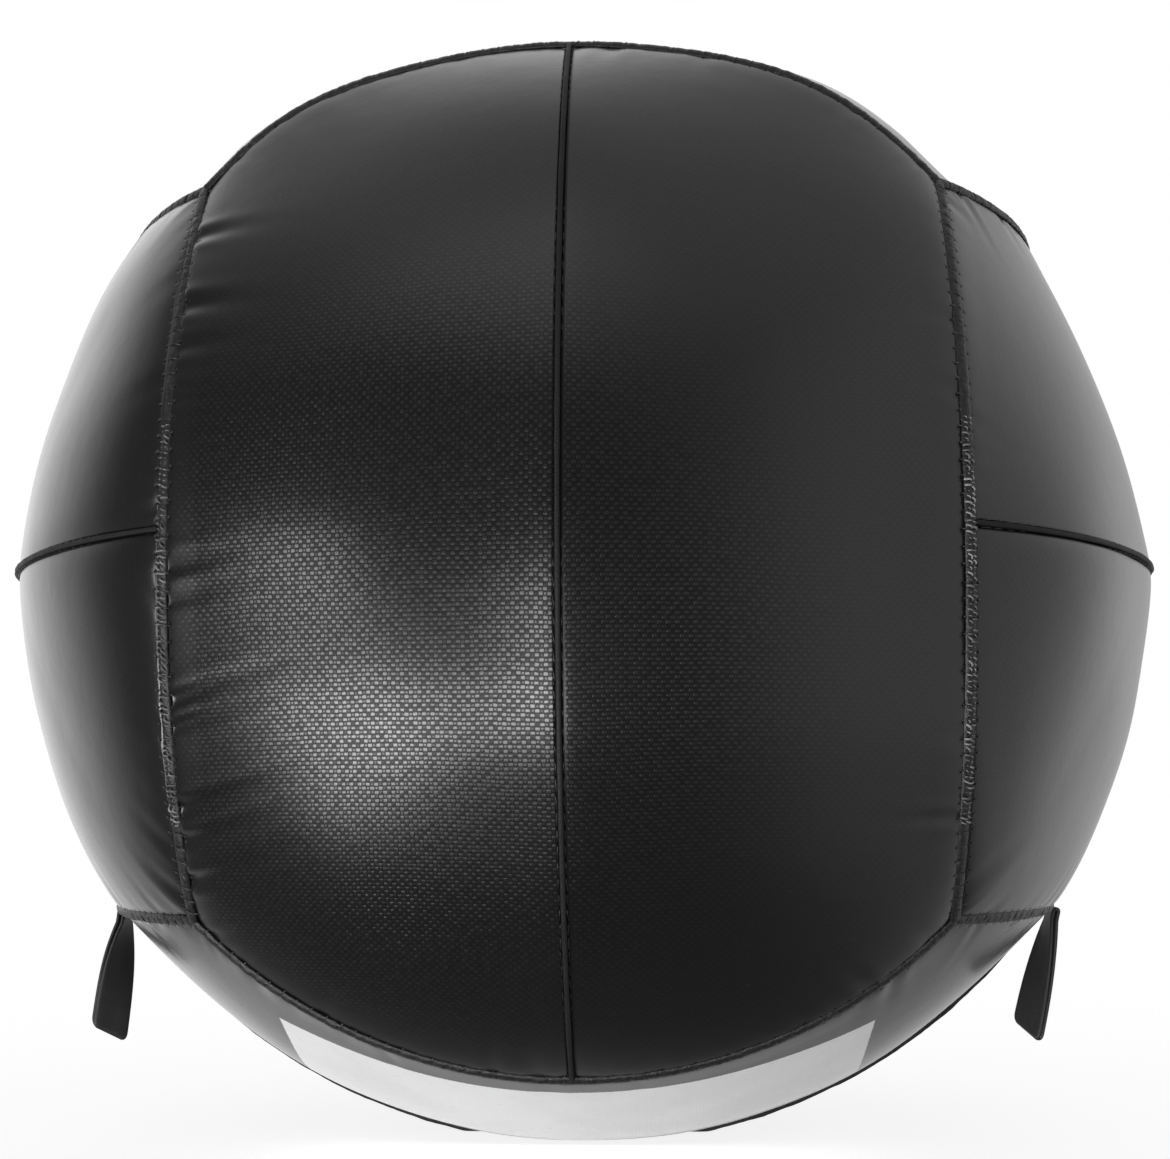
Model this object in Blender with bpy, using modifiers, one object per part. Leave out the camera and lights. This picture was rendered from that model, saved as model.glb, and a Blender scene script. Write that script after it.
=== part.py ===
"""Wall ball: a soft weighted ball with a sewn twelve-panel cover and two webbing loops.

Metres, +Z up. The front face looks along -Y. Each of the six faces is two panels that
meet in a centre seam, and the faces meet in border seams. The ball stands on a small
settled flat under its bottom face, and the origin is the middle of that flat.
"""
import math

import bmesh
import bpy
from mathutils import Vector

# Cover
seam_radius = 0.178
settle_share = 0.99
panel_flatness_share = 0.02
rest_flat_radius = 0.035
panel_thickness = 0.0010
touch_gap = 0.0003

# Centre seam welt
welt_width = 0.0020
welt_stand = 0.0012
welt_chamfer = 0.0004

# Border seam stitching
stitch_width = 0.0025
stitch_stand = 0.0006
stitch_chamfer = 0.0005
stitch_end_trim = 0.0014

# Padding, filling and weight
pad_thickness = 0.0080
pad_side_gap = 0.0004
weight_bag_radius = 0.078
weight_bag_wall = 0.0010

# Hanging loops, folded from webbing
webbing_width = 0.012
webbing_thickness = 0.0011
fold_slit = 0.0004
loop_length = 0.039
loop_twist_start = 0.003
root_height = 0.0020
root_seat_gap = 0.0004
root_tail_width = 0.0046
root_tail_thickness = 0.0014
root_side_clearance = 0.0005
left_loop_lean = math.radians(6.7)
left_loop_twist = math.radians(54)
left_loop_skew_share = -0.4
right_loop_lean = math.radians(13.5)
right_loop_twist = math.radians(-24)
right_loop_skew_share = 0.35

# Counts of facets
panel_columns = 8
pad_columns = 4
bag_segments = 20
loop_leg_rows = 7
loop_fold_rows = 4

# Shares below which two places or two grid values count as the same
same_share = 0.000001
merge_share = 0.00005
merge_distance = merge_share * seam_radius

# The border seams lie in flat planes, and three of them meet at each of eight corners
centre_seam_half_angle = math.atan(math.sqrt(2))
border_half_angle = math.radians(45)

centre_height = settle_share * math.sqrt(seam_radius**2 - rest_flat_radius**2)
pad_depth = panel_thickness + touch_gap
fill_depth = pad_depth + pad_thickness + touch_gap
strap_radius = webbing_thickness + fold_slit / 2

x_axis = Vector((1, 0, 0))
y_axis = Vector((0, 1, 0))
z_axis = Vector((0, 0, 1))

# Face name, outward direction, direction of its centre seam, and its two panels
faces = (
    ("front", -y_axis, z_axis, (("left", -x_axis), ("right", x_axis))),
    ("back", y_axis, z_axis, (("left", -x_axis), ("right", x_axis))),
    ("left", -x_axis, y_axis, (("upper", z_axis), ("lower", -z_axis))),
    ("right", x_axis, y_axis, (("upper", z_axis), ("lower", -z_axis))),
    ("top", z_axis, x_axis, (("front", -y_axis), ("back", y_axis))),
    ("bottom", -z_axis, x_axis, (("front", -y_axis), ("back", y_axis))),
)
end_names = {"x": ("left", "right"), "y": ("front", "back"), "z": ("lower", "upper")}

# Colour, roughness and metallic value of each material
finishes = {
    "cover_vinyl": ((0.014, 0.014, 0.015), 0.42, 0.0),
    "welt_vinyl": ((0.020, 0.020, 0.021), 0.45, 0.0),
    "seam_thread": ((0.008, 0.008, 0.008), 0.70, 0.0),
    "loop_webbing": ((0.018, 0.018, 0.017), 0.60, 0.0),
    "foam_padding": ((0.30, 0.31, 0.33), 0.95, 0.0),
    "fibre_filling": ((0.55, 0.53, 0.50), 1.0, 0.0),
    "bag_cloth": ((0.20, 0.16, 0.10), 0.85, 0.0),
    "sand": ((0.36, 0.27, 0.16), 1.0, 0.0),
}


def clear_scene():
    for old in list(bpy.data.objects):
        bpy.data.objects.remove(old, do_unlink=True)


def make_material(name):
    colour, roughness, metallic = finishes[name]
    material = bpy.data.materials.new(name)
    material.use_nodes = True
    shader = material.node_tree.nodes["Principled BSDF"]
    shader.inputs["Base Color"].default_value = (*colour, 1)
    shader.inputs["Roughness"].default_value = roughness
    shader.inputs["Metallic"].default_value = metallic
    return material


def add_object(name, mesh_data, material, collection, origin=None):
    """Turn the mesh's faces outward and make it an object, with its origin where given."""
    bmesh.ops.recalc_face_normals(mesh_data, faces=mesh_data.faces[:])
    if origin is not None:
        bmesh.ops.translate(mesh_data, verts=mesh_data.verts[:], vec=-origin)
    if mesh_data.calc_volume(signed=True) < 0:
        bmesh.ops.reverse_faces(mesh_data, faces=mesh_data.faces[:])
    mesh = bpy.data.meshes.new(name)
    mesh_data.to_mesh(mesh)
    mesh_data.free()
    if material is not None:
        mesh.materials.append(material)
    mesh.shade_smooth()
    mesh.set_sharp_from_angle(angle=math.radians(40))
    made = bpy.data.objects.new(name, mesh)
    if origin is not None:
        made.location = origin
    collection.objects.link(made)
    return made


def place(direction, depth, flatness=0):
    """The point at a depth under the seams' skin, on the settled ball."""
    point = direction * (seam_radius * (1 - flatness) - depth)
    point.z = max(point.z * settle_share + centre_height, depth, 0)
    return point


def flatness_at(across, along):
    """How far a panel's middle lies inside the seams' sphere, as a share of its radius."""
    return panel_flatness_share * 4 * across * (1 - across) * (1 - along**4)


def seam_end(normal, seam):
    """Where a face's centre seam ends, towards the direction of the seam."""
    return normal * math.cos(centre_seam_half_angle) + seam * math.sin(centre_seam_half_angle)


def centre_seam_direction(normal, seam, along):
    """A point of a face's centre seam, from one end (-1) to the other (1)."""
    turn = along * centre_seam_half_angle
    return normal * math.cos(turn) + seam * math.sin(turn)


def border_direction(normal, middle, sideways, along):
    """A point of the border seam that runs from corner to corner through a centre seam's end."""
    turn = along * border_half_angle
    rise = middle * math.cos(turn) + sideways * math.sin(turn)
    return normal * math.cos(centre_seam_half_angle) + rise * math.sin(centre_seam_half_angle)


def tangent(direction, normal):
    """The unit direction along the skin that leads towards a normal."""
    return (normal - direction * direction.dot(normal)).normalized()


def pull_back(direction, edges):
    """Move a border point in from one or two seams, each a (normal, distance) pair."""
    (first, first_gap), (second, second_gap) = (edges * 2)[:2]
    if len(edges) == 1:
        shift = first * first_gap
    else:
        lean = first.dot(second)
        spread = 1 - lean**2
        shift = first * ((first_gap - lean * second_gap) / spread)
        shift += second * ((second_gap - lean * first_gap) / spread)
    return (direction + shift / seam_radius).normalized()


def panel_direction(panel, across, along, centre_gap=0, border_gap=0):
    """Direction of a panel's point, from its centre seam (across 0) to its border (across 1)."""
    normal, seam, side = panel
    up = (along + 1) / 2
    inner = centre_seam_direction(normal, seam, along)
    outer = border_direction(side, normal, seam, along)
    direction = inner * (1 - across) + outer * across
    for towards, share in ((-1, 1 - up), (1, up)):
        edge = border_direction(normal, seam * towards, side, across)
        straight = centre_seam_direction(normal, seam, towards) * (1 - across)
        straight += border_direction(side, normal, seam, towards) * across
        direction += (edge - straight) * share
    direction.normalize()
    edges = []
    if across < same_share:
        edges.append((side, centre_gap))
    if across > 1 - same_share:
        edges.append((-tangent(direction, side), border_gap))
    if abs(along) > 1 - same_share:
        edges.append((tangent(direction, normal), border_gap))
    if edges and centre_gap + border_gap > 0:
        direction = pull_back(direction, edges)
    return direction


def panel_solid(panel, columns, top_depth, bottom_depth, centre_gap, border_gap):
    """A flat grid, thickened by extrusion, then laid on the ball between two depths."""
    solid = bmesh.new()
    bmesh.ops.create_grid(solid, x_segments=columns, y_segments=2 * columns, size=1)
    extruded = bmesh.ops.extrude_face_region(solid, geom=solid.faces[:])
    inner = {item for item in extruded["geom"] if isinstance(item, bmesh.types.BMVert)}
    for vertex in solid.verts:
        across = (vertex.co.x + 1) / 2
        along = vertex.co.y
        depth = bottom_depth if vertex in inner else top_depth
        direction = panel_direction(panel, across, along, centre_gap, border_gap)
        vertex.co = place(direction, depth, flatness_at(across, along))
    return solid


def ball_surface(columns, depth):
    """The whole cover's shape as one closed surface at a depth."""
    surface = bmesh.new()
    for _, normal, seam, panels in faces:
        for _, side in panels:
            patch = bmesh.ops.create_grid(surface, x_segments=columns, y_segments=2 * columns, size=1)
            for vertex in patch["verts"]:
                across = (vertex.co.x + 1) / 2
                along = vertex.co.y
                direction = panel_direction((normal, seam, side), across, along)
                vertex.co = place(direction, depth, flatness_at(across, along))
    bmesh.ops.remove_doubles(surface, verts=surface.verts[:], dist=merge_distance)
    return surface


def round_surface(radius):
    """A round bag's surface about the ball's centre."""
    surface = bmesh.new()
    bmesh.ops.create_uvsphere(surface, u_segments=bag_segments, v_segments=bag_segments // 2, radius=radius)
    bmesh.ops.translate(surface, verts=surface.verts[:], vec=z_axis * centre_height)
    return surface


def half_solid(surface, side):
    """The upper or lower half of a closed surface, cut level through the ball's centre."""
    bmesh.ops.bisect_plane(
        surface,
        geom=surface.verts[:] + surface.edges[:] + surface.faces[:],
        dist=merge_distance,
        plane_co=z_axis * centre_height,
        plane_no=z_axis * side,
        clear_inner=True,
    )
    rim = [edge for edge in surface.edges if edge.is_boundary]
    for vertex in {corner for edge in rim for corner in edge.verts}:
        vertex.co.z = centre_height + side * touch_gap / 2
    bmesh.ops.holes_fill(surface, edges=rim, sides=0)
    return surface


def sweep(rings):
    """A solid drawn through rings of as many points each, by extruding a capped circle."""
    solid = bmesh.new()
    bmesh.ops.create_circle(solid, cap_ends=True, segments=len(rings[0]), radius=1)
    solid.faces.ensure_lookup_table()
    cap = solid.faces[0]
    for vertex, point in zip(cap.verts, rings[0]):
        vertex.co = point
    for ring in rings[1:]:
        cap = bmesh.ops.extrude_discrete_faces(solid, faces=[cap])["faces"][0]
        for vertex, point in zip(cap.verts, ring):
            vertex.co = point
    open_edges = [edge for edge in solid.edges if edge.is_boundary]
    bmesh.ops.holes_fill(solid, edges=open_edges, sides=len(rings[0]))
    return solid


def seam_section(width, stand, chamfer):
    """Section of what fills a seam: (sideways, height over the skin) pairs."""
    half = width / 2
    return (
        (-half, -panel_thickness),
        (half, -panel_thickness),
        (half, stand - chamfer),
        (half - chamfer, stand),
        (chamfer - half, stand),
        (-half, stand - chamfer),
    )


def section_ring(direction, side, section):
    return [
        place((direction + side * (sideways / seam_radius)).normalized(), -height)
        for sideways, height in section
    ]


def centre_welt(normal, seam):
    """The raised strip along a face's centre seam, ending short of the border stitches."""
    section = seam_section(welt_width, welt_stand, welt_chamfer)
    end_trim = (stitch_width + welt_width) / 2
    end_share = 1 - end_trim / (seam_radius * centre_seam_half_angle)
    shares = [row / panel_columns for row in range(1 - panel_columns, panel_columns)]
    rings = []
    for share in [-end_share, *shares, end_share]:
        direction = centre_seam_direction(normal, seam, share)
        rings.append(section_ring(direction, seam.cross(normal), section))
    return sweep(rings)


def border_stitches(normal, middle, sideways, start_trim):
    """Stitches of a border seam, to its corners or, with a trim, from beside its middle to one."""
    section = seam_section(stitch_width, stitch_stand, stitch_chamfer)
    length = seam_radius * math.sin(centre_seam_half_angle) * border_half_angle
    end_share = 1 - stitch_end_trim / length
    start_share = start_trim / length if start_trim else -end_share
    shares = [row / panel_columns for row in range(1 - panel_columns, panel_columns)]
    shares = [share for share in shares if share > start_share * (1 + same_share)]
    rings = []
    for share in [start_share, *shares, end_share]:
        direction = border_direction(normal, middle, sideways, share)
        rings.append(section_ring(direction, tangent(direction, normal), section))
    return sweep(rings)


def loop_axis(end):
    """Middle of the line that a loop bends about, over the end of a centre seam."""
    height = root_seat_gap + root_height + touch_gap + strap_radius
    return place(end, 0) + end * height


def loop_root(end):
    """The loop's sewn root: a block on the skin, with a tail that goes down into the seam."""
    solid = bmesh.new()
    bmesh.ops.create_cube(solid, size=1)
    across = end.cross(y_axis).normalized()
    base = place(end, 0)
    bottom = min(solid.faces, key=lambda face: face.calc_center_median().z)
    tail = bmesh.ops.extrude_discrete_faces(solid, faces=[bottom])["faces"][0]
    shoulder = list(tail.verts)
    tail = bmesh.ops.extrude_discrete_faces(solid, faces=[tail])["faces"][0]
    foot = list(tail.verts)
    for vertex in solid.verts:
        width = root_tail_width if vertex in shoulder or vertex in foot else webbing_width
        thickness = root_tail_thickness if vertex in shoulder or vertex in foot else 2 * strap_radius
        height = root_seat_gap + (root_height if vertex.co.z > 0 else 0)
        if vertex in foot:
            height = -panel_thickness
        sideways = across * (thickness * vertex.co.x) + y_axis * (width * vertex.co.y)
        vertex.co = base + sideways + end * height
    return solid


def loop_band(end, lean, twist, skew):
    """The loop's outer face: webbing round a long flat ring, twisted on its way down."""
    outline = []
    leg = loop_length - strap_radius
    for row in range(loop_leg_rows + 1):
        outline.append((strap_radius, leg * row / loop_leg_rows))
    for row in range(1, loop_fold_rows):
        turn = math.pi * row / loop_fold_rows
        outline.append((strap_radius * math.cos(turn), leg + strap_radius * math.sin(turn)))
    for row in range(loop_leg_rows, -1, -1):
        outline.append((-strap_radius, leg * row / loop_leg_rows))
    for row in range(1, loop_fold_rows):
        turn = math.pi * row / loop_fold_rows
        outline.append((-strap_radius * math.cos(turn), -strap_radius * math.sin(turn)))
    outline.append(outline[0])
    down = Vector((-math.sin(lean), 0, -math.cos(lean)))
    flat = y_axis.cross(down)
    axis = loop_axis(end)
    band = bmesh.new()
    bmesh.ops.create_grid(band, x_segments=2, y_segments=len(outline) - 1, size=1)
    for vertex in band.verts:
        row = round((vertex.co.y + 1) / 2 * (len(outline) - 1))
        thick, length = outline[row]
        wide = vertex.co.x * webbing_width / 2
        share = min(max((length - loop_twist_start) / (leg - loop_twist_start), 0), 1)
        turn = twist * share * (2 - share)
        across = y_axis * math.cos(turn) - flat * math.sin(turn)
        through = flat * math.cos(turn) + y_axis * math.sin(turn)
        reach = length - wide * skew * share
        vertex.co = axis + down * reach + across * wide + through * thick
    bmesh.ops.remove_doubles(band, verts=band.verts[:], dist=merge_distance)
    return band


def build_cover(collection, materials):
    """Twelve cover panels and the padding behind each."""
    centre_gap = welt_width / 2 + touch_gap
    border_gap = stitch_width / 2 + touch_gap
    for face, normal, seam, panels in faces:
        for name, side in panels:
            panel = (normal, seam, side)
            cover = panel_solid(panel, panel_columns, 0, panel_thickness, centre_gap, border_gap)
            add_object(f"{face}_{name}_panel", cover, materials["cover_vinyl"], collection)
            pad = panel_solid(
                panel, pad_columns, pad_depth, pad_depth + pad_thickness, pad_side_gap / 2, pad_side_gap / 2
            )
            add_object(f"{face}_{name}_pad", pad, materials["foam_padding"], collection)


def build_seams(collection, materials):
    """Six welts, and the border stitches that pass the ends of each centre seam."""
    root_trim = webbing_width / 2 + root_side_clearance
    for face, normal, seam, panels in faces:
        add_object(f"{face}_welt", centre_welt(normal, seam), materials["welt_vinyl"], collection)
        axis_name = "xyz"[max(range(3), key=lambda index: abs(seam[index]))]
        for end_name, towards in zip(end_names[axis_name], (-seam, seam)):
            name = f"{face}_{end_name}"
            if face == "bottom":
                pieces = [(f"{name}_{side_name}_stitches", side, root_trim) for side_name, side in panels]
            else:
                pieces = [(f"{name}_stitches", panels[0][1], 0)]
            for piece, sideways, trim in pieces:
                stitches = border_stitches(normal, towards, sideways, trim)
                add_object(piece, stitches, materials["seam_thread"], collection)


def add_cutter(name, mesh_data, collection):
    cutter = add_object(name, mesh_data, None, collection)
    cutter.hide_render = True
    cutter.display_type = "WIRE"
    return cutter


def hollow_out(solid, cutter):
    cut = solid.modifiers.new("Hollow", "BOOLEAN")
    cut.operation = "DIFFERENCE"
    cut.object = cutter


def build_inside(collection, cutters, materials):
    """Fibre filling in two halves round a two-part bag that holds the weight."""
    bag_space = add_cutter("bag_space", round_surface(weight_bag_radius + touch_gap), cutters)
    load_space = add_cutter("load_space", round_surface(weight_bag_radius - weight_bag_wall), cutters)
    for name, side in (("upper", 1), ("lower", -1)):
        filling = half_solid(ball_surface(pad_columns, fill_depth), side)
        filling = add_object(f"{name}_filling", filling, materials["fibre_filling"], collection)
        hollow_out(filling, bag_space)
        bag = half_solid(round_surface(weight_bag_radius), side)
        bag = add_object(f"{name}_weight_bag", bag, materials["bag_cloth"], collection)
        hollow_out(bag, load_space)
    load = round_surface(weight_bag_radius - weight_bag_wall - touch_gap)
    add_object("weight_load", load, materials["sand"], collection)


def build_loops(collection, materials):
    """Two webbing loops that hang from sewn roots at the ends of the bottom seam."""
    loops = (
        ("left", -x_axis, left_loop_lean, left_loop_twist, left_loop_skew_share),
        ("right", x_axis, right_loop_lean, right_loop_twist, right_loop_skew_share),
    )
    for name, towards, lean, twist, skew in loops:
        end = seam_end(-z_axis, towards)
        add_object(f"{name}_loop_root", loop_root(end), materials["loop_webbing"], collection)
        band = loop_band(end, lean, twist, skew)
        loop = add_object(f"{name}_loop", band, materials["loop_webbing"], collection, loop_axis(end))
        wall = loop.modifiers.new("Webbing", "SOLIDIFY")
        wall.thickness = webbing_thickness
        wall.offset = -1


def main():
    clear_scene()
    collection = bpy.data.collections.new("wall_ball")
    cutters = bpy.data.collections.new("cutters")
    bpy.context.scene.collection.children.link(collection)
    bpy.context.scene.collection.children.link(cutters)
    materials = {name: make_material(name) for name in finishes}
    build_cover(collection, materials)
    build_seams(collection, materials)
    build_inside(collection, cutters, materials)
    build_loops(collection, materials)


main()
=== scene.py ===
"""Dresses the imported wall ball: woven cover, welts, overcast seams, webbing loops, fillings and studio."""

import math

import bpy
import numpy as np
from mathutils import Matrix, Vector


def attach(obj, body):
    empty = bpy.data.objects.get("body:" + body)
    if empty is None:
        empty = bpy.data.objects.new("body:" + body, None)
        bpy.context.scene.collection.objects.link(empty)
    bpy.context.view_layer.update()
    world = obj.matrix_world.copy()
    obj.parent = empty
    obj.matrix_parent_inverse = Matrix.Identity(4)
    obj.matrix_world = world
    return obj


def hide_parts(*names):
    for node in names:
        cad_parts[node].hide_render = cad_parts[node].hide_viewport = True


bl_info = {
    "name": "Wall Ball",
    "version": (1, 0, 0),
    "blender": (4, 5, 0),
    "location": "3D View > Sidebar > Wall Ball",
    "description": "Cover, seams, loops, fillings and studio of a sewn wall ball",
    "category": "Object",
}

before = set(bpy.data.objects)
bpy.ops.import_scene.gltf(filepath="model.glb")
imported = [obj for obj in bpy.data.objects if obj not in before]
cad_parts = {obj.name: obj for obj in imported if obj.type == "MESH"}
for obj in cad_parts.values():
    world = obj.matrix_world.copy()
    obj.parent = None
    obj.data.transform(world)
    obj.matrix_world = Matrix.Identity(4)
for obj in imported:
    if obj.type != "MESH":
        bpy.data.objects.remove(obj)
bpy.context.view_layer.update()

centre_seam_half_angle = math.atan(math.sqrt(2))
border_half_angle = math.pi / 4
x_axis, y_axis, z_axis = np.eye(3)
faces = (
    ("front", -y_axis, z_axis, (("left", -x_axis), ("right", x_axis))),
    ("back", y_axis, z_axis, (("left", -x_axis), ("right", x_axis))),
    ("left", -x_axis, y_axis, (("upper", z_axis), ("lower", -z_axis))),
    ("right", x_axis, y_axis, (("upper", z_axis), ("lower", -z_axis))),
    ("top", z_axis, x_axis, (("front", -y_axis), ("back", y_axis))),
    ("bottom", -z_axis, x_axis, (("front", -y_axis), ("back", y_axis))),
)
end_names = {"x": ("left", "right"), "y": ("front", "back"), "z": ("lower", "upper")}


def number(name, description, default, **settings):
    return bpy.props.FloatProperty(name=name, description=description, default=default, **settings)


def length(name, description, default):
    return number(name, description, default, min=0, precision=5, unit="LENGTH", subtype="DISTANCE")


def share(name, description, default):
    return number(name, description, default, min=0, max=1, precision=3, subtype="FACTOR")


def slant(name, description, default):
    return number(name, description, default, min=-1, max=1, precision=3, subtype="FACTOR")


def angle(name, description, default):
    return number(name, description, math.radians(default), unit="ROTATION", subtype="ANGLE")


def colour(name, description, default):
    return bpy.props.FloatVectorProperty(
        name=name, description=description, default=default, size=3, min=0, max=1, subtype="COLOR"
    )


class BallShape(bpy.types.PropertyGroup):
    """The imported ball's own form, which every dressed piece follows."""

    seam_radius: length("Seam Radius", "Radius of the round that all seams lie on", 0.178)
    settle: share("Settle", "Height of the standing ball as a share of a round one", 0.99)
    rest_radius: length("Rest Radius", "Radius of the flat that the ball stands on", 0.035)
    flatness: share("Panel Flatness", "How far a panel's middle lies inside the seams", 0.02)
    panel_thickness: length("Panel Thickness", "Thickness of the coated cloth", 0.0010)
    gap: length("Gap", "Clear distance between pieces that touch", 0.0003)
    pad_thickness: length("Pad Thickness", "Thickness of the foam behind a panel", 0.0080)


class CoverLook(bpy.types.PropertyGroup):
    """Cloth, puckers and print of the cover."""

    vinyl: colour("Vinyl", "Colour of the coated cloth", (0.0078, 0.0078, 0.0084))
    yarn_pitch: length("Yarn Pitch", "Distance between neighbouring yarns", 0.00114)
    pucker_depth: length("Pucker Depth", "Depth of the deepest puckers along the border seams", 0.0007)
    wave_height: length("Wave Height", "Height of the slow waves of the stuffed cover", 0.00045)
    band: colour("Band", "Colour of the plain printed band", (0.86, 0.86, 0.87))
    band_low: angle("Band Lower Edge", "Where the band starts, up from the bottom seam", 8.0)
    band_high: angle("Band Upper Edge", "Where the band ends, up from the bottom seam", 31.6)
    band_half: length("Band Half Length", "Half the band's length along the bottom seam", 0.0882)


class SeamLook(bpy.types.PropertyGroup):
    """Welts, overcast edges and thread."""

    welt_width: length("Welt Width", "Width of the flat welt in a centre seam", 0.0014)
    welt_stand: length("Welt Stand", "How far a welt stands over the seam", 0.0007)
    border_width: length("Border Width", "Width of the overcast edge", 0.0025)
    border_lap: length("Border Lap", "How far the overcast edge laps over the cloth beside it", 0.0006)
    border_stand: length("Border Stand", "How far the overcast edge stands over the seam", 0.0005)
    welt: colour("Welt", "Colour of the welts", (0.010, 0.010, 0.0105))
    thread: colour("Thread", "Colour of the thread", (0.010, 0.010, 0.010))
    whip_pitch: length("Whip Stitch Pitch", "Distance between overcast stitches", 0.0044)
    whip_thread: length("Whip Thread", "Thickness of the overcast thread", 0.00038)
    run_pitch: length("Running Stitch Pitch", "Distance between stitches beside a welt", 0.0045)
    run_thread: length("Running Thread", "Thickness of the thread beside a welt", 0.00028)


class LoopShape(bpy.types.PropertyGroup):
    """The two webbing loops."""

    webbing: colour("Webbing", "Colour of the webbing", (0.017, 0.017, 0.0165))
    width: length("Webbing Width", "Width of the webbing", 0.012)
    thickness: length("Webbing Thickness", "Thickness of the webbing", 0.0011)
    slit: length("Slit", "Space inside the flattened loop", 0.0004)
    reach: length("Loop Length", "From the loop's hinge to its far fold", 0.039)
    twist_start: length("Twist Start", "Where the loop starts to twist", 0.003)
    root_height: length("Root Height", "Height of the sewn root over the skin", 0.0020)
    root_seat: length("Root Seat", "Clear distance under the root's block", 0.0004)
    left_lean: angle("Left Lean", "How far the left loop leans outwards", 6.7)
    left_twist: angle("Left Twist", "How far the left loop twists", 54)
    left_skew: slant("Left Skew", "Slant of the left loop's far fold", -0.4)
    right_lean: angle("Right Lean", "How far the right loop leans inwards", 13.5)
    right_twist: angle("Right Twist", "How far the right loop twists", -37)
    right_skew: slant("Right Skew", "Slant of the right loop's far fold", 0.35)


class StudioSet(bpy.types.PropertyGroup):
    """Camera, floor and light."""

    camera_distance: length("Camera Distance", "From the ball's middle to the camera", 0.6465)
    camera_pitch: angle("Camera Pitch", "How far the camera looks up", -6.63)
    camera_yaw: angle("Camera Yaw", "How far the camera stands to the right", -2.05)
    camera_roll: angle("Camera Roll", "Turn of the camera about its own axis", 0.42)
    camera_right: length("Camera Right", "How far the camera is moved to its right", 0.0002)
    camera_up: length("Camera Up", "How far the camera is moved upwards", 0.00287)
    lens: number("Lens", "Focal length in millimetres", 60.94, min=1, unit="CAMERA")
    room_light: share("Room Light", "Level of the even room light", 0.35)
    lamp_distance: length("Lamp Distance", "From the ball's middle to the lamps", 3.0)
    lamp_level: number("Lamp Level", "Brightness of the lamps", 1.0, min=0, subtype="FACTOR")


def unit(vectors):
    return vectors / np.maximum(np.linalg.norm(vectors, axis=-1, keepdims=True), 1e-12)


def tangent(direction, normal):
    """Unit directions along the skin that lead towards a normal."""
    return unit(normal - direction * (direction @ normal)[..., None])


def centre_height(ball):
    return ball.settle * math.sqrt(ball.seam_radius**2 - ball.rest_radius**2)


# Where the stuffed ball bulges or sinks: (direction, height, breadth).
forms = (
    ((0.42, -0.46, 0.79), 0.0058, 0.20),
    ((0.47, -0.04, 0.88), -0.0062, 0.29),
    ((-0.47, -0.46, 0.75), 0.0052, 0.20),
    ((-0.47, -0.04, 0.88), -0.0045, 0.27),
    ((0.77, -0.10, 0.62), -0.0016, 0.14),
)


def form_at(direction):
    """How far the filling pushes the whole cover out or lets it sink, at these directions."""
    height = np.zeros(direction.shape[:-1])
    for centre, amount, breadth in forms:
        apart = np.linalg.norm(direction - unit(np.array(centre)), axis=-1)
        height += amount * np.exp(-((apart / breadth) ** 2))
    return height


def place(ball, direction, height, flatness=0.0):
    """Points at a height over the seams' skin, on the settled ball."""
    height = np.broadcast_to(height, direction.shape[:-1]) + form_at(direction)
    point = direction * (ball.seam_radius * (1 - flatness) + height)[..., None]
    level = point[..., 2] * ball.settle + centre_height(ball)
    point[..., 2] = np.maximum(level, np.maximum(-height, 0))
    return point


def flatness_at(ball, across, along):
    return ball.flatness * 4 * across * (1 - across) * (1 - along**4)


def centre_seam_direction(normal, seam, along):
    turn = np.asarray(along, float)[..., None] * centre_seam_half_angle
    return normal * np.cos(turn) + seam * np.sin(turn)


def border_direction(normal, middle, sideways, along):
    """Points of a border seam, a flat arc from corner to corner about a normal."""
    turn = np.asarray(along, float)[..., None] * border_half_angle
    rise = middle * np.cos(turn) + sideways * np.sin(turn)
    return normal * math.cos(centre_seam_half_angle) + rise * math.sin(centre_seam_half_angle)


def panel_direction(panel, across, along):
    """Directions of a panel's points, from its centre seam (across 0) to its border (across 1)."""
    normal, seam, side = panel
    upper = ((along + 1) / 2)[..., None]
    mixed = across[..., None]
    inner = centre_seam_direction(normal, seam, along)
    outer = border_direction(side, normal, seam, along)
    direction = inner * (1 - mixed) + outer * mixed
    for towards, part in ((-1, 1 - upper), (1, upper)):
        edge = border_direction(normal, seam * towards, side, across)
        straight = centre_seam_direction(normal, seam, towards) * (1 - mixed)
        straight = straight + border_direction(side, normal, seam, towards) * mixed
        direction = direction + (edge - straight) * part
    return unit(direction)


def seam_distances(radius, panel, direction):
    """Distances from the panel's centre seam, from its outer border and from its end borders."""
    normal, _, side = panel
    towards_side = np.arccos(np.clip(direction @ side, -1, 1))
    towards_normal = np.arccos(np.clip(direction @ normal, -1, 1))
    return (
        radius * (math.pi / 2 - towards_side),
        radius * (towards_side - centre_seam_half_angle),
        radius * (centre_seam_half_angle - towards_normal),
    )


def clear_of_seams(radius, panel, direction, gaps, reach):
    """Pull points back from the panel's seams, less and less towards its middle."""
    normal, _, side = panel
    start = seam_distances(radius, panel, direction)
    for _ in range(4):
        for index, gap in enumerate(gaps):
            wanted = start[index] + gap * np.clip(1 - start[index] / reach, 0, 1)
            hold = np.clip(2 * (1 - start[index] / reach), 0, 1)
            pull = (side + 0 * direction, -tangent(direction, side), tangent(direction, normal))[index]
            missing = (wanted - seam_distances(radius, panel, direction)[index]) * hold
            direction = unit(direction + pull * (missing / radius)[..., None])
    return direction


def clustered(count, strength):
    """Rising numbers from 0 to 1, closer together near both ends."""
    even = np.linspace(0, 1, count + 1)
    return even - strength * np.sin(2 * math.pi * even) / (2 * math.pi)


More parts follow.
